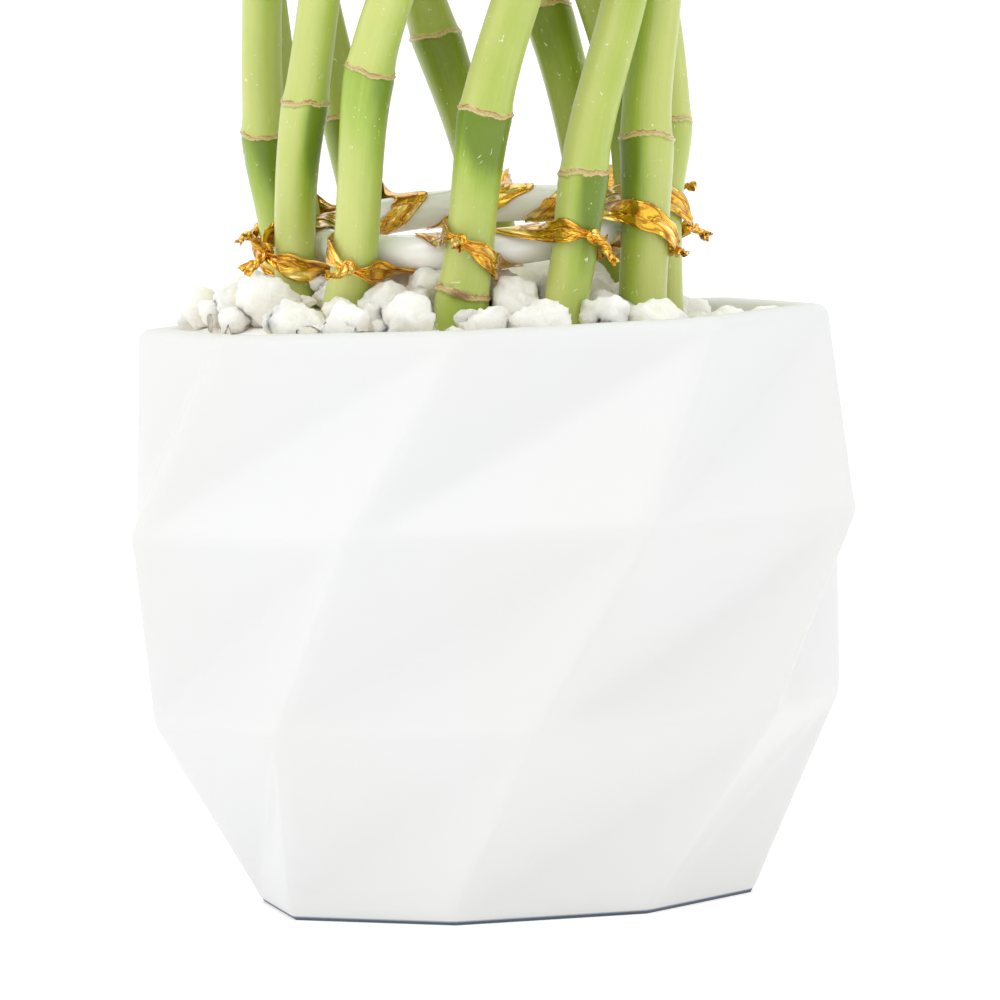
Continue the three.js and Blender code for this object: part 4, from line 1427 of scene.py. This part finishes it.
    def _tail(self, ahead: np.ndarray, seed: float) -> tuple[np.ndarray, np.ndarray]:
        """A rope of twisted foil that fans out at its end.

        Args:
            ahead: The way it points.
            seed: What its twist and length follow from.

        Returns:
            Sections about its root, and the place of each corner on the flat foil.
        """
        share = np.linspace(0, 1, self.tail_rows)[:, None]
        angle = (2 * math.pi / self.tail_sides * np.arange(self.tail_sides))[None, :]
        length = scatter_in(self.tail_lengths, seed + 2)
        side = unit(np.cross(ahead, np.array([0.0, 0.3, 1.0])))
        up = np.cross(side, ahead)
        fan = smoothstep(0.7, 1.0, share)
        twist = 2 * math.pi * length * share / scatter_in(self.twist_pitches, seed + 3)
        phase = angle - twist * (1 - 0.4 * fan)
        apart, half = self.strands
        strand = apart * np.abs(np.cos(phase)) + np.sqrt(half**2 - (apart * np.sin(phase)) ** 2)
        swell = 1 + 0.12 * np.sin(7 * share + seed) + 0.35 * np.exp(-((share / 0.12) ** 2))
        thick = self.tail_thickness * swell * strand * smoothstep(-0.05, 0.04, share)
        crumple = 1 + fan * (0.22 * np.sin(5 * angle + seed) + 0.14 * np.sin(9 * angle + 7 * share))
        x = thick * np.cos(angle) * crumple * (1 + 0.7 * fan)
        curl = 0.5 * fan * np.cos(5 * np.cos(angle) + seed)
        y = thick * np.sin(angle) * crumple * (1 - 0.45 * fan) + curl
        cup = np.where(share > 0.985, 0.55, 1.0)
        sway = 0.9 * np.sin(2.4 * share + 6 * scatter(seed + 4)) * share
        droop = 0.8 * np.sin(3.1 * share + 6 * scatter(seed + 5)) * share
        ragged = fan * (0.4 * np.sin(3 * angle + seed) + 0.25 * np.sin(8 * angle)) - 1.3 * (cup < 1)
        forward = (length * share + ragged)[..., None] * ahead
        places = forward + (x * cup + sway)[..., None] * side + (y * cup + droop)[..., None] * up
        grain = np.stack([length * share + 0 * angle, 0.9 * phase + 0 * share, seed + 0 * x], axis=-1)
        return places, grain


@dataclass(frozen=True)
class LeafLevel:
    """One leaf of every shoot: where it points, how it rises and drops, its reach and half its width."""

    points: float
    rise: float
    drop: float
    reach: float
    half: float


# From the lowest leaf to the one at the top
LEAF_LEVELS = [
    LeafLevel(58, 44, 56, 92, 8.2),
    LeafLevel(-52, 58, 54, 90, 8.6),
    LeafLevel(12, 74, 50, 82, 8.6),
    LeafLevel(-22, 88, 40, 64, 8.4),
    LeafLevel(150, 70, 34, 36, 7.2),
    LeafLevel(66, 90, 28, 44, 7.6),
    LeafLevel(-70, 84, 20, 32, 7.0),
    LeafLevel(5, 92, 14, 24, 6.4),
    LeafLevel(-165, 78, 14, 22, 5.8),
]
BLADE_STATIONS = [0, 0.08, 0.28, 0.52, 0.78, 1]
BLADE_WIDTHS = [0, 0.3, 0.8, 1, 0.66, 0]
STALK_STATIONS = [0, 0.5, 8, 40, 56, 70]
STALK_RADII = [1.4, 2.1, 2.4, 1.9, 1.2, 0.25]


@dataclass
class Trail:
    """Points along a leaf or a stalk, with the half width there, which others keep clear of."""

    places: np.ndarray
    half: np.ndarray
    room: float = 4.0
    side_room: float = 2.0

    def passes(self, other: "Trail") -> bool:
        """Whether this passes wholly over or wholly under another wherever they are near in plan.

        Args:
            other: The other trail.

        Returns:
            True if they keep clear of each other.
        """
        gap = self.places[:, None] - other.places[None, :]
        apart = np.hypot(gap[..., 0], gap[..., 1])
        near = apart <= self.half[:, None] + other.half[None, :] + self.side_room
        rises = gap[..., 2][near]
        return not (np.any(np.abs(rises) < self.room) or (np.any(rises > 0) and np.any(rises < 0)))


@dataclass
class Leaf:
    """One leaf on its shoot."""

    base: np.ndarray
    turn: float
    level: LeafLevel
    size: float
    seed: float
    thickness: float = 0.9
    fold: float = 0.25
    tip_room: float = 0.18
    rows: int = 30
    columns: int = 9
    thin_edge: float = 0.16
    sheath: float = 0.9
    sheath_share: float = 0.05
    rolls: tuple[float, float] = (-14, 14)
    waviness: float = 0.05
    ripples: float = 13.0
    round_fold: float = 0.7
    sharp_fold: float = 0.3
    edge_thinning: float = 0.62
    full_half: float = 2.5

    def rib(self, share: np.ndarray) -> np.ndarray:
        """The leaf's middle line.

        Args:
            share: How far along it, from 0 to 1.

        Returns:
            The points there.
        """
        out = polar(1.0, self.turn, 0.0)
        share = np.asarray(share, float)
        rise = (self.level.rise * share - self.level.drop * share**2) * self.size
        flat = out * (self.level.reach * self.size * share)[..., None]
        return self.base + flat + np.stack([0 * rise, 0 * rise, rise], axis=-1)

    def half(self, share: np.ndarray) -> np.ndarray:
        """Half the leaf's width, which others keep clear of."""
        return self.level.half * np.maximum(self.tip_room, between(BLADE_STATIONS, BLADE_WIDTHS, share))

    def trail(self) -> Trail:
        """The leaf's trail."""
        share = np.linspace(0, 1, TRAIL_POINTS)
        return Trail(self.rib(share), self.half(share))

    def add_to(self, shape: Shape) -> None:
        """Adds the blade to its shoot: folded, a little wavy and thickest along its rib.

        Args:
            shape: The shoot so far.
        """
        share = np.linspace(0, 1, self.rows) ** 1.08
        wide = self.level.half * between(BLADE_STATIONS, BLADE_WIDTHS, share)
        wide = np.maximum(wide, self.thin_edge) + self.sheath * np.exp(-((share / self.sheath_share) ** 2))
        out = polar(1.0, self.turn, 0.0)
        side = np.array([out[1], -out[0], 0.0])
        ahead = unit(self.rib(share + 0.01) - self.rib(share - 0.01))
        up = np.cross(side, ahead)
        column = np.linspace(-1, 1, self.columns)[None, :]
        roll = math.radians(scatter_in(self.rolls, self.seed)) * share[:, None] ** 1.5
        ripple = np.sin(self.ripples * share[:, None] + WHOLE_TURN * scatter(self.seed + 1) + 2 * column)
        wave = self.waviness * ripple * column**2
        folded = column**2 * self.round_fold + self.sharp_fold * np.abs(column)
        lift = self.fold * folded + wave + np.tan(roll) * column
        rows = wide[:, None]
        thinned = 1 - self.edge_thinning * np.abs(column) ** 0.8
        thick = self.thickness * thinned * np.minimum(1, rows / self.full_half)
        layers = []
        for layer, order in ((0.5, 1), (-0.5, -1)):
            x = (rows * column)[:, ::order]
            y = (rows * lift + layer * thick)[:, ::order]
            layers.append(self.rib(share)[:, None] + x[..., None] * side + y[..., None] * up[:, None])
        across = np.concatenate([column, column[:, ::-1]], axis=1)
        traits = {Trait.ACROSS: across, Trait.ALONG: share[:, None], Trait.PART: 0.0}
        shape.sleeve(np.concatenate(layers, axis=1), traits)


@dataclass
class Shoot:
    """The leafy shoot at the top of a cane."""

    cane: Cane
    leaves: list[Leaf] = field(default_factory=list)
    radius: float = 2.5
    sink: float = 0.6
    length: float = 62.0
    lean: float = 7.0
    first_leaf: float = 9.0
    pitch: float = 6.0
    sides: int = 16
    foot_rows: tuple[float, ...] = (0.0, 0.3, 1.0, 2.0, 4.0, 6.0)
    row_pitch: float = 0.8
    bare_foot: float = 5.0
    sheath_step: float = 0.1

    @property
    def foot(self) -> float:
        """The height of the stalk's foot, at the cane's topmost node ring."""
        return self.cane.nodes[-1]

    @property
    def turn(self) -> float:
        """The way the shoot faces."""
        start = self.cane.line(np.array(self.foot))
        return math.degrees(math.atan2(start[0] - CAGE_X, -start[1]))

    def line(self, z: np.ndarray) -> np.ndarray:
        """The stalk's middle line.

        Args:
            z: Heights.

        Returns:
            The points at those heights.
        """
        z = np.asarray(z, float)
        start = self.cane.line(np.array(self.foot))
        away = self.cane.width / 2 + self.radius - self.sink
        grown = (z - self.foot) / self.length
        place = start + polar(1.0, self.turn, 0.0) * (away + self.lean * grown * grown)[..., None]
        place[..., 2] = z
        return place

    def stalk_trail(self) -> Trail:
        """The stalk's trail."""
        z = np.linspace(self.foot, self.foot + self.length, TRAIL_POINTS)
        return Trail(self.line(z), np.full(TRAIL_POINTS, self.radius))

    def build(self, material: bpy.types.Material) -> None:
        """Builds the stalk, wrapped in the sheaths of its leaves, and the leaves.

        Args:
            material: Its finish.
        """
        shape = Shape()
        rows = np.arange(STALK_STATIONS[2], STALK_STATIONS[-1], self.row_pitch)
        rises = np.array([*self.foot_rows, *rows])
        radii = between(STALK_STATIONS, STALK_RADII, rises)
        sheath = ((rises - self.first_leaf) / self.pitch) % 1.0
        wrapped = 1 - self.sheath_step + self.sheath_step * sheath
        radii = radii * np.where(rises > self.bare_foot, wrapped, 1.0)
        turns = 360 / self.sides * np.arange(self.sides)
        line = self.line(self.foot + rises)
        sections = line[:, None] + polar(radii[:, None], turns[None, :], 0.0)
        traits = {Trait.ACROSS: 0.5, Trait.ALONG: 0.5, Trait.PART: 1.0}
        shape.sleeve(sections, traits)
        for leaf in self.leaves:
            leaf.add_to(shape)
        name = f"shoot_{self.cane.number}"
        hand_in(shape.build(f"{name}_leaves"), material, Slot.LEAF, name)


@dataclass
class Foliage:
    """All the shoots, grown together so that their leaves keep clear of each other."""

    attempts: int = 60
    swing: float = 8.0
    sizes: tuple[float, float] = (0.9, 1.1)

    def grow(self) -> list[Shoot]:
        """Grows the leaves level by level.

        Returns:
            The shoots with their leaves.
        """
        shoots = [Shoot(cane) for cane in CANES]
        trails = [[shoot.stalk_trail()] for shoot in shoots]
        for k, level in enumerate(LEAF_LEVELS):
            for shoot, own in zip(shoots, trails):
                others = [trail for theirs in trails if theirs is not own for trail in theirs]
                base = shoot.line(np.array(shoot.foot + shoot.first_leaf + shoot.pitch * k))
                leaf = self._fit(shoot, base, k, level, others)
                if leaf is not None:
                    shoot.leaves.append(leaf)
                    own.append(leaf.trail())
        return shoots

    def _fit(
        self, shoot: Shoot, base: np.ndarray, k: int, level: LeafLevel, others: list[Trail]
    ) -> Leaf | None:
        """Turns and sizes a leaf until it keeps clear of the others.

        Args:
            shoot: The leaf's shoot.
            base: Where it starts.
            k: Its level's number.
            level: Its level.
            others: The trails that it has to keep clear of.

        Returns:
            The leaf, or None if it never does.
        """
        for attempt in range(self.attempts):
            seed = 50 * shoot.cane.index + 11 * k + 3.7 * attempt
            swing = (self.swing + attempt) * (2 * scatter(seed + 1) - 1)
            size = scatter_in(self.sizes, seed) * (1 - attempt / self.attempts / 2)
            leaf = Leaf(base, shoot.turn + level.points + swing, level, size, seed)
            trail = leaf.trail()
            if all(trail.passes(other) for other in others):
                return leaf
        return None


@dataclass
class Gravel:
    """The quartz stones that fill the pot, on a filling with a low mound."""

    pot: Pot
    edge: float = 105.0
    mound_x: float = -12.0
    mound: float = 10.0
    spread: float = 46.0
    tilt: float = -0.03
    low_side: float = 2.6
    low_side_range: tuple[float, float] = (18.0, 50.0)
    pitch: float = 13.4
    stone: float = 6.4
    fill_rise: float = 0.8
    fill_sides: int = 64
    beyond: float = 80.0
    shift: float = 2.4
    lengths: tuple[float, float] = (0.85, 1.15)
    widths: tuple[float, float] = (0.75, 1.0)
    heights: tuple[float, float] = (0.65, 0.95)
    spins: tuple[float, float] = (0.0, 6.0)
    lifts: tuple[float, float] = (2.0, 5.0)
    chips: tuple[float, float] = (1.8, 3.4)
    chip_lifts: tuple[float, float] = (2.0, 5.5)
    chip_shape: tuple[float, float, float] = (1.1, 0.9, 0.8)
    chip_away: float = 0.56
    chip_turns: tuple[float, float] = (30.0, 90.0)
    chip_beyond: float = 2.0
    stone_level: int = 4
    chip_level: int = 3
    fill_tone: float = 0.6
    facets: int = 10
    facet_depths: tuple[float, float] = (0.62, 0.98)
    crispness: float = 40.0
    least_gauge: float = 0.6
    longest: float = 1.16
    dent: float = 0.024
    dent_waves: float = 6.0
    lump: float = 0.36
    lump_waves: float = 5.5
    mean_wave: float = 0.64
    grit: float = 0.016
    cane_room: float = 0.7
    wall_room: float = 0.2
    stone_room: float = 0.72

    def surface(self, x: np.ndarray, y: np.ndarray) -> np.ndarray:
        """The mound's height.

        Args:
            x: Places to the right.
            y: Places to the back.

        Returns:
            The heights there.
        """
        away = np.hypot(x - self.mound_x, y) / self.spread
        low_side = self.low_side * smoothstep(*self.low_side_range, np.asarray(x, float))
        return self.edge + self.mound * np.exp(-(away**4)) + self.tilt * x - low_side

    @staticmethod
    def ball(level: int) -> tuple[np.ndarray, list[tuple[int, ...]]]:
        """A fine ball of triangles.

        Args:
            level: How often its faces are split.

        Returns:
            Its unit vertices and its faces.
        """
        work = bmesh.new()
        bmesh.ops.create_icosphere(work, subdivisions=level, radius=1)
        places = np.array([vertex.co for vertex in work.verts])
        faces = [tuple(vertex.index for vertex in face.verts) for face in work.faces]
        work.free()
        return places, faces

    def cut(self, ball: np.ndarray, seed: float) -> np.ndarray:
        """A ball broken into a stone with worn facets.

        Args:
            ball: Unit vertices.
            seed: What the stone's facets follow from.

        Returns:
            The stone's vertices, about 1 from its middle.
        """
        draw = np.random.default_rng(int(1000 * scatter(seed) + 17 * seed))
        normals = unit(draw.normal(size=(self.facets, 3)))
        depths = draw.uniform(*self.facet_depths, self.facets)
        facing = np.maximum(ball @ normals.T, 0) / depths
        gauge = (facing**self.crispness).sum(axis=1) ** (1 / self.crispness)
        reach = np.minimum(1.0 / np.maximum(gauge, self.least_gauge), self.longest)
        hollows = np.sin(ball @ draw.normal(size=(3, 4)) * self.dent_waves + draw.uniform(0, 6, 4))
        dents = self.dent * hollows.sum(axis=1)
        waves = np.sin(ball @ draw.normal(size=(3, 5)) * self.lump_waves + draw.uniform(0, 6, 5))
        lumps = np.abs(waves).mean(axis=1) - self.mean_wave
        grit = draw.uniform(-self.grit, self.grit, len(ball))
        return ball * (reach + dents + self.lump * lumps + grit)[:, None]

    def placed(self, ball: np.ndarray, x: float, y: float, seed: float) -> np.ndarray:
        """A main stone, of the size and turned the way that its packed one is.

        Args:
            ball: Unit vertices.
            x: Its place to the right.
            y: Its place to the back.
            seed: What the stone follows from.

        Returns:
            Its vertices.
        """
        long = self.stone * scatter_in(self.lengths, seed)
        wide = long * scatter_in(self.widths, seed + 1)
        high = long * scatter_in(self.heights, seed + 2)
        stone = self.cut(ball, seed) * np.array([long, wide, high])
        spin_x = Matrix.Rotation(scatter_in(self.spins, seed + 3), 3, "X")
        spin_z = Matrix.Rotation(scatter_in(self.spins, seed + 4), 3, "Z")
        height = float(self.surface(x, y)) + scatter_in(self.lifts, seed + 5)
        return stone @ np.array(spin_z @ spin_x).T + np.array([x, y, height])

    def seated(self, places: np.ndarray) -> np.ndarray:
        """A stone drawn in from the pot's wall and moved aside where a cane stands.

        Args:
            places: Its vertices.

        Returns:
            The moved vertices.
        """
        middle = places.mean(axis=0)
        size = np.ptp(places[:, :2], axis=0).mean() / 2
        for cane in CANES:
            line, half = cane.line(middle[2]), float(cane.half(middle[2]))
            away = (middle - line)[:2]
            far, room = math.hypot(*away), half + self.stone_room * size
            if far < room:
                shift = np.array([*(away * (room / max(far, 0.01) - 1)), 0.0])
                places, middle = places + shift, middle + shift
        places = self.pot.limit(places, self.pot.wall + CLEARANCE + self.wall_room)
        for cane in CANES:
            away = places - cane.line(places[:, 2])
            far = np.hypot(away[:, 0], away[:, 1])
            room = cane.half(places[:, 2]) + self.cane_room
            push = np.where(far < room, room / np.maximum(far, 0.01), 1.0) - 1
            places = places + away * np.stack([push, push, 0 * push], axis=1)
        return places

    def build(self, material: bpy.types.Material) -> None:
        """Builds the filling, the main stones and the chips between them.

        Args:
            material: Its finish.
        """
        shape = Shape()
        self._fill(shape)
        ball, faces = self.ball(self.stone_level)
        chip_ball, chip_faces = self.ball(self.chip_level)
        reach = self.pot.ring(self.edge, self.pot.wall + self.stone / 2)[0]
        row_pitch = self.pitch * math.sin(math.radians(60))
        rows = math.ceil(reach / row_pitch)
        for row in range(-rows, rows + 1):
            for column in range(-rows, rows + 1):
                seed = 100 + 37 * (row + rows) + 1.7 * (column + rows)
                x = self.pitch * (column + math.fmod(row, 2) / 2) + self.shift * (scatter(seed + 8) - 0.5)
                y = row_pitch * row + self.shift * (scatter(seed + 9) - 0.5)
                if math.hypot(x, y) < reach:
                    stone = self.placed(ball, x, y, seed)
                    shape.add(self.seated(stone), faces, {Trait.TONE: scatter(seed + 12)})
                for k, turn in enumerate(self.chip_turns):
                    self._chip(shape, chip_ball, chip_faces, x, y, turn, seed + 40 * k, reach)
        hand_in(shape.build("gravel_quartz"), material, Slot.GRAVEL, "gravel")

    def _chip(
        self,
        shape: Shape,
        ball: np.ndarray,
        faces: list[tuple[int, ...]],
        x: float,
        y: float,
        turn: float,
        seed: float,
        reach: float,
    ) -> None:
        """Adds one small stone beside a main one, if it lies inside the pot.

        Args:
            shape: The gravel so far.
            ball: Unit vertices.
            faces: The ball's faces.
            x: The main stone's place to the right.
            y: Its place to the back.
            turn: The way to the chip.
            seed: What the chip follows from.
            reach: How far out the stones lie.
        """
        spot = np.array([x, y, 0.0]) + polar(self.pitch * self.chip_away, turn, 0.0)
        if math.hypot(spot[0], spot[1]) > reach + self.chip_beyond:
            return
        size = scatter_in(self.chips, seed + 20)
        stone = self.cut(ball, seed + 21) * size * np.array(self.chip_shape)
        spot[2] = float(self.surface(spot[0], spot[1])) + scatter_in(self.chip_lifts, seed + 22)
        shape.add(self.seated(stone + spot), faces, {Trait.TONE: scatter(seed + 23)})

    def _fill(self, shape: Shape) -> None:
        """Adds the filling under the stones.

        Args:
            shape: The gravel so far.
        """
        inset = self.pot.wall + CLEARANCE
        heights = [self.pot.floor + CLEARANCE, self.pot.band, 2 * self.pot.band]
        turns = 360 / self.fill_sides * np.arange(self.fill_sides)
        sections = [self.pot.limit(polar(self.beyond, turns, z), inset) for z in heights]
        top = self.pot.limit(polar(self.beyond, turns, self.edge), inset)
        for share in (1.0, 0.75, 0.5, 0.25, 0.02):
            flat = top * np.array([share, share, 1])
            flat[:, 2] = self.surface(flat[:, 0], flat[:, 1]) + self.fill_rise
            sections.append(flat)
        shape.sleeve(np.stack(sections), {Trait.TONE: self.fill_tone})


@dataclass(frozen=True)
class SoftLight:
    """A large soft lamp."""

    name: str
    place: tuple[float, float, float]
    size: float
    power: float
    colour: tuple[float, float, float] = (1.0, 1.0, 1.0)
    target: tuple[float, float, float] = (0.0, 0.0, 0.12)

    def build(self) -> None:
        """Hangs the lamp, aimed at its target."""
        lamp = bpy.data.lights.new(self.name, "AREA")
        lamp.shape = "DISK"
        lamp.size = self.size
        lamp.energy = self.power
        lamp.color = self.colour
        piece = bpy.data.objects.new(self.name, lamp)
        piece.location = self.place
        piece.rotation_euler = (Vector(self.target) - Vector(self.place)).to_track_quat("-Z", "Y").to_euler()
        bpy.context.scene.collection.objects.link(piece)


@dataclass
class Studio:
    """The white floor, the lamps and the camera at the photo's view."""

    distance: float = 1.7
    camera_height: float = 0.183
    pitch: float = 3.574
    yaw: float = 0.066
    roll: float = -2.347
    lens: float = 318.0
    sensor: float = 36.0
    floor_size: float = 600.0
    floor_white: float = 0.62
    floor_roughness: float = 0.9
    floor_glow: float = 0.49
    view_depth: float = 1000.0
    sky_white: tuple[float, float, float] = (0.985, 0.985, 1.0)
    sky: dict[str, tuple[float, float, float, float]] = field(
        default_factory=lambda: {
            "X": (-1.0, 1.0, 0.94, 0.79),
            "Y": (-1.0, 0.1, 0.74, 1.04),
            "Z": (0.1, 0.9, 1.0, 1.45),
        }
    )
    lamps: tuple[SoftLight, ...] = (
        SoftLight("key_lamp", (-1.5, -1.4, 2.2), 1.8, 8.0, (1.0, 0.99, 0.97)),
        SoftLight("front_lamp", (-0.2, -1.8, 2.4), 1.6, 11.0, (1.0, 0.99, 0.97)),
        SoftLight("fill_lamp", (1.7, -1.5, 1.9), 1.6, 2.0, (1.0, 0.995, 0.985)),
        SoftLight("top_lamp", (0.2, 0.1, 2.4), 2.4, 15.0),
        SoftLight("right_lamp", (1.9, 0.0, 0.9), 0.26, 1.6, (0.93, 0.97, 1.0)),
    )

    def build(self) -> None:
        """Sets up the floor, the light and the camera."""
        self._floor()
        for lamp in self.lamps:
            lamp.build()
        world = bpy.data.worlds.new("studio")
        bpy.context.scene.world = world
        world.use_nodes = True
        self._sky(world)
        bpy.context.scene.view_settings.view_transform = "Standard"
        self._camera()

    def _sky(self, world: bpy.types.World) -> None:
        """Makes the studio white, brightest overhead, with less light from the front and the right.

        Args:
            world: The world.
        """
        tree = world.node_tree
        background = tree.nodes["Background"]
        background.inputs["Color"].default_value = (*self.sky_white, 1)
        way = tree.nodes.new("ShaderNodeTexCoord")
        parts = tree.nodes.new("ShaderNodeSeparateXYZ")
        tree.links.new(way.outputs["Generated"], parts.inputs[0])
        strength = None
        for axis, fade in self.sky.items():
            level = tree.nodes.new("ShaderNodeMapRange")
            level.interpolation_type = "SMOOTHSTEP"
            for socket, value in zip(("From Min", "From Max", "To Min", "To Max"), fade):
                level.inputs[socket].default_value = value
            tree.links.new(parts.outputs[axis], level.inputs["Value"])
            if strength is None:
                strength = level.outputs["Result"]
                continue
            product = tree.nodes.new("ShaderNodeMath")
            product.operation = "MULTIPLY"
            tree.links.new(strength, product.inputs[0])
            tree.links.new(level.outputs["Result"], product.inputs[1])
            strength = product.outputs[0]
        tree.links.new(strength, background.inputs["Strength"])

    def _floor(self) -> None:
        """Lays the white floor, which shines a little as a lit table does."""
        half = self.floor_size / 2
        mesh = bpy.data.meshes.new("floor")
        corners = [(-half, -half, 0), (half, -half, 0), (half, half, 0), (-half, half, 0)]
        mesh.from_pydata(corners, [], [(0, 1, 2, 3)])
        floor = bpy.data.objects.new("floor", mesh)
        bpy.context.scene.collection.objects.link(floor)
        recipe = Recipe("white_floor", (self.floor_white,) * 3, self.floor_roughness)
        recipe.set("Emission Color", (1, 1, 1, 1))
        recipe.set("Emission Strength", self.floor_glow)
        mesh.materials.append(recipe.material)

    def _camera(self) -> None:
        """Sets the camera where the photo was taken from."""
        pitch, yaw, roll = (math.radians(angle) for angle in (self.pitch, self.yaw, self.roll))
        ahead = Vector((math.sin(yaw) * math.cos(pitch), math.cos(yaw) * math.cos(pitch), -math.sin(pitch)))
        right = Vector((math.cos(yaw), -math.sin(yaw), 0))
        up = right.cross(ahead)
        side = right * math.cos(roll) + up * math.sin(roll)
        above = up * math.cos(roll) - right * math.sin(roll)
        data = bpy.data.cameras.new("camera")
        data.sensor_width = self.sensor
        data.lens = self.lens
        data.clip_end = self.view_depth
        camera = bpy.data.objects.new("camera", data)
        turn = Matrix((side, above, -ahead)).transposed().to_4x4()
        camera.matrix_world = Matrix.Translation((0, -self.distance, self.camera_height)) @ turn
        bpy.context.scene.collection.objects.link(camera)
        bpy.context.scene.camera = camera


def main() -> None:
    logging.basicConfig(level=logging.INFO, format="%(message)s")
    Studio().build()
    pot = Pot()
    pot.build()
    Gravel(pot).build(Quartz().material())
    plastic, foil, bark, leaf = (kind().material() for kind in (WhitePlastic, Foil, Bark, LeafSkin))
    LOWER_HOOP.build(plastic)
    UPPER_HOOP.build(plastic)
    for cane in CANES:
        cane.build(bark)
        style = TIE_STYLES[cane.index]
        Tie("lower", cane, LOWER_HOOP, cane.turns[1], 1, style).build(foil)
        mirrored = TieStyle(UPPER_TIE_SLANT, 0, style.knot, style.tails)
        Tie("upper", cane, UPPER_HOOP, cane.top_turn, -1, mirrored).build(foil)
    for shoot in Foliage().grow():
        shoot.build(leaf)


if __name__ == "__main__":
    main()
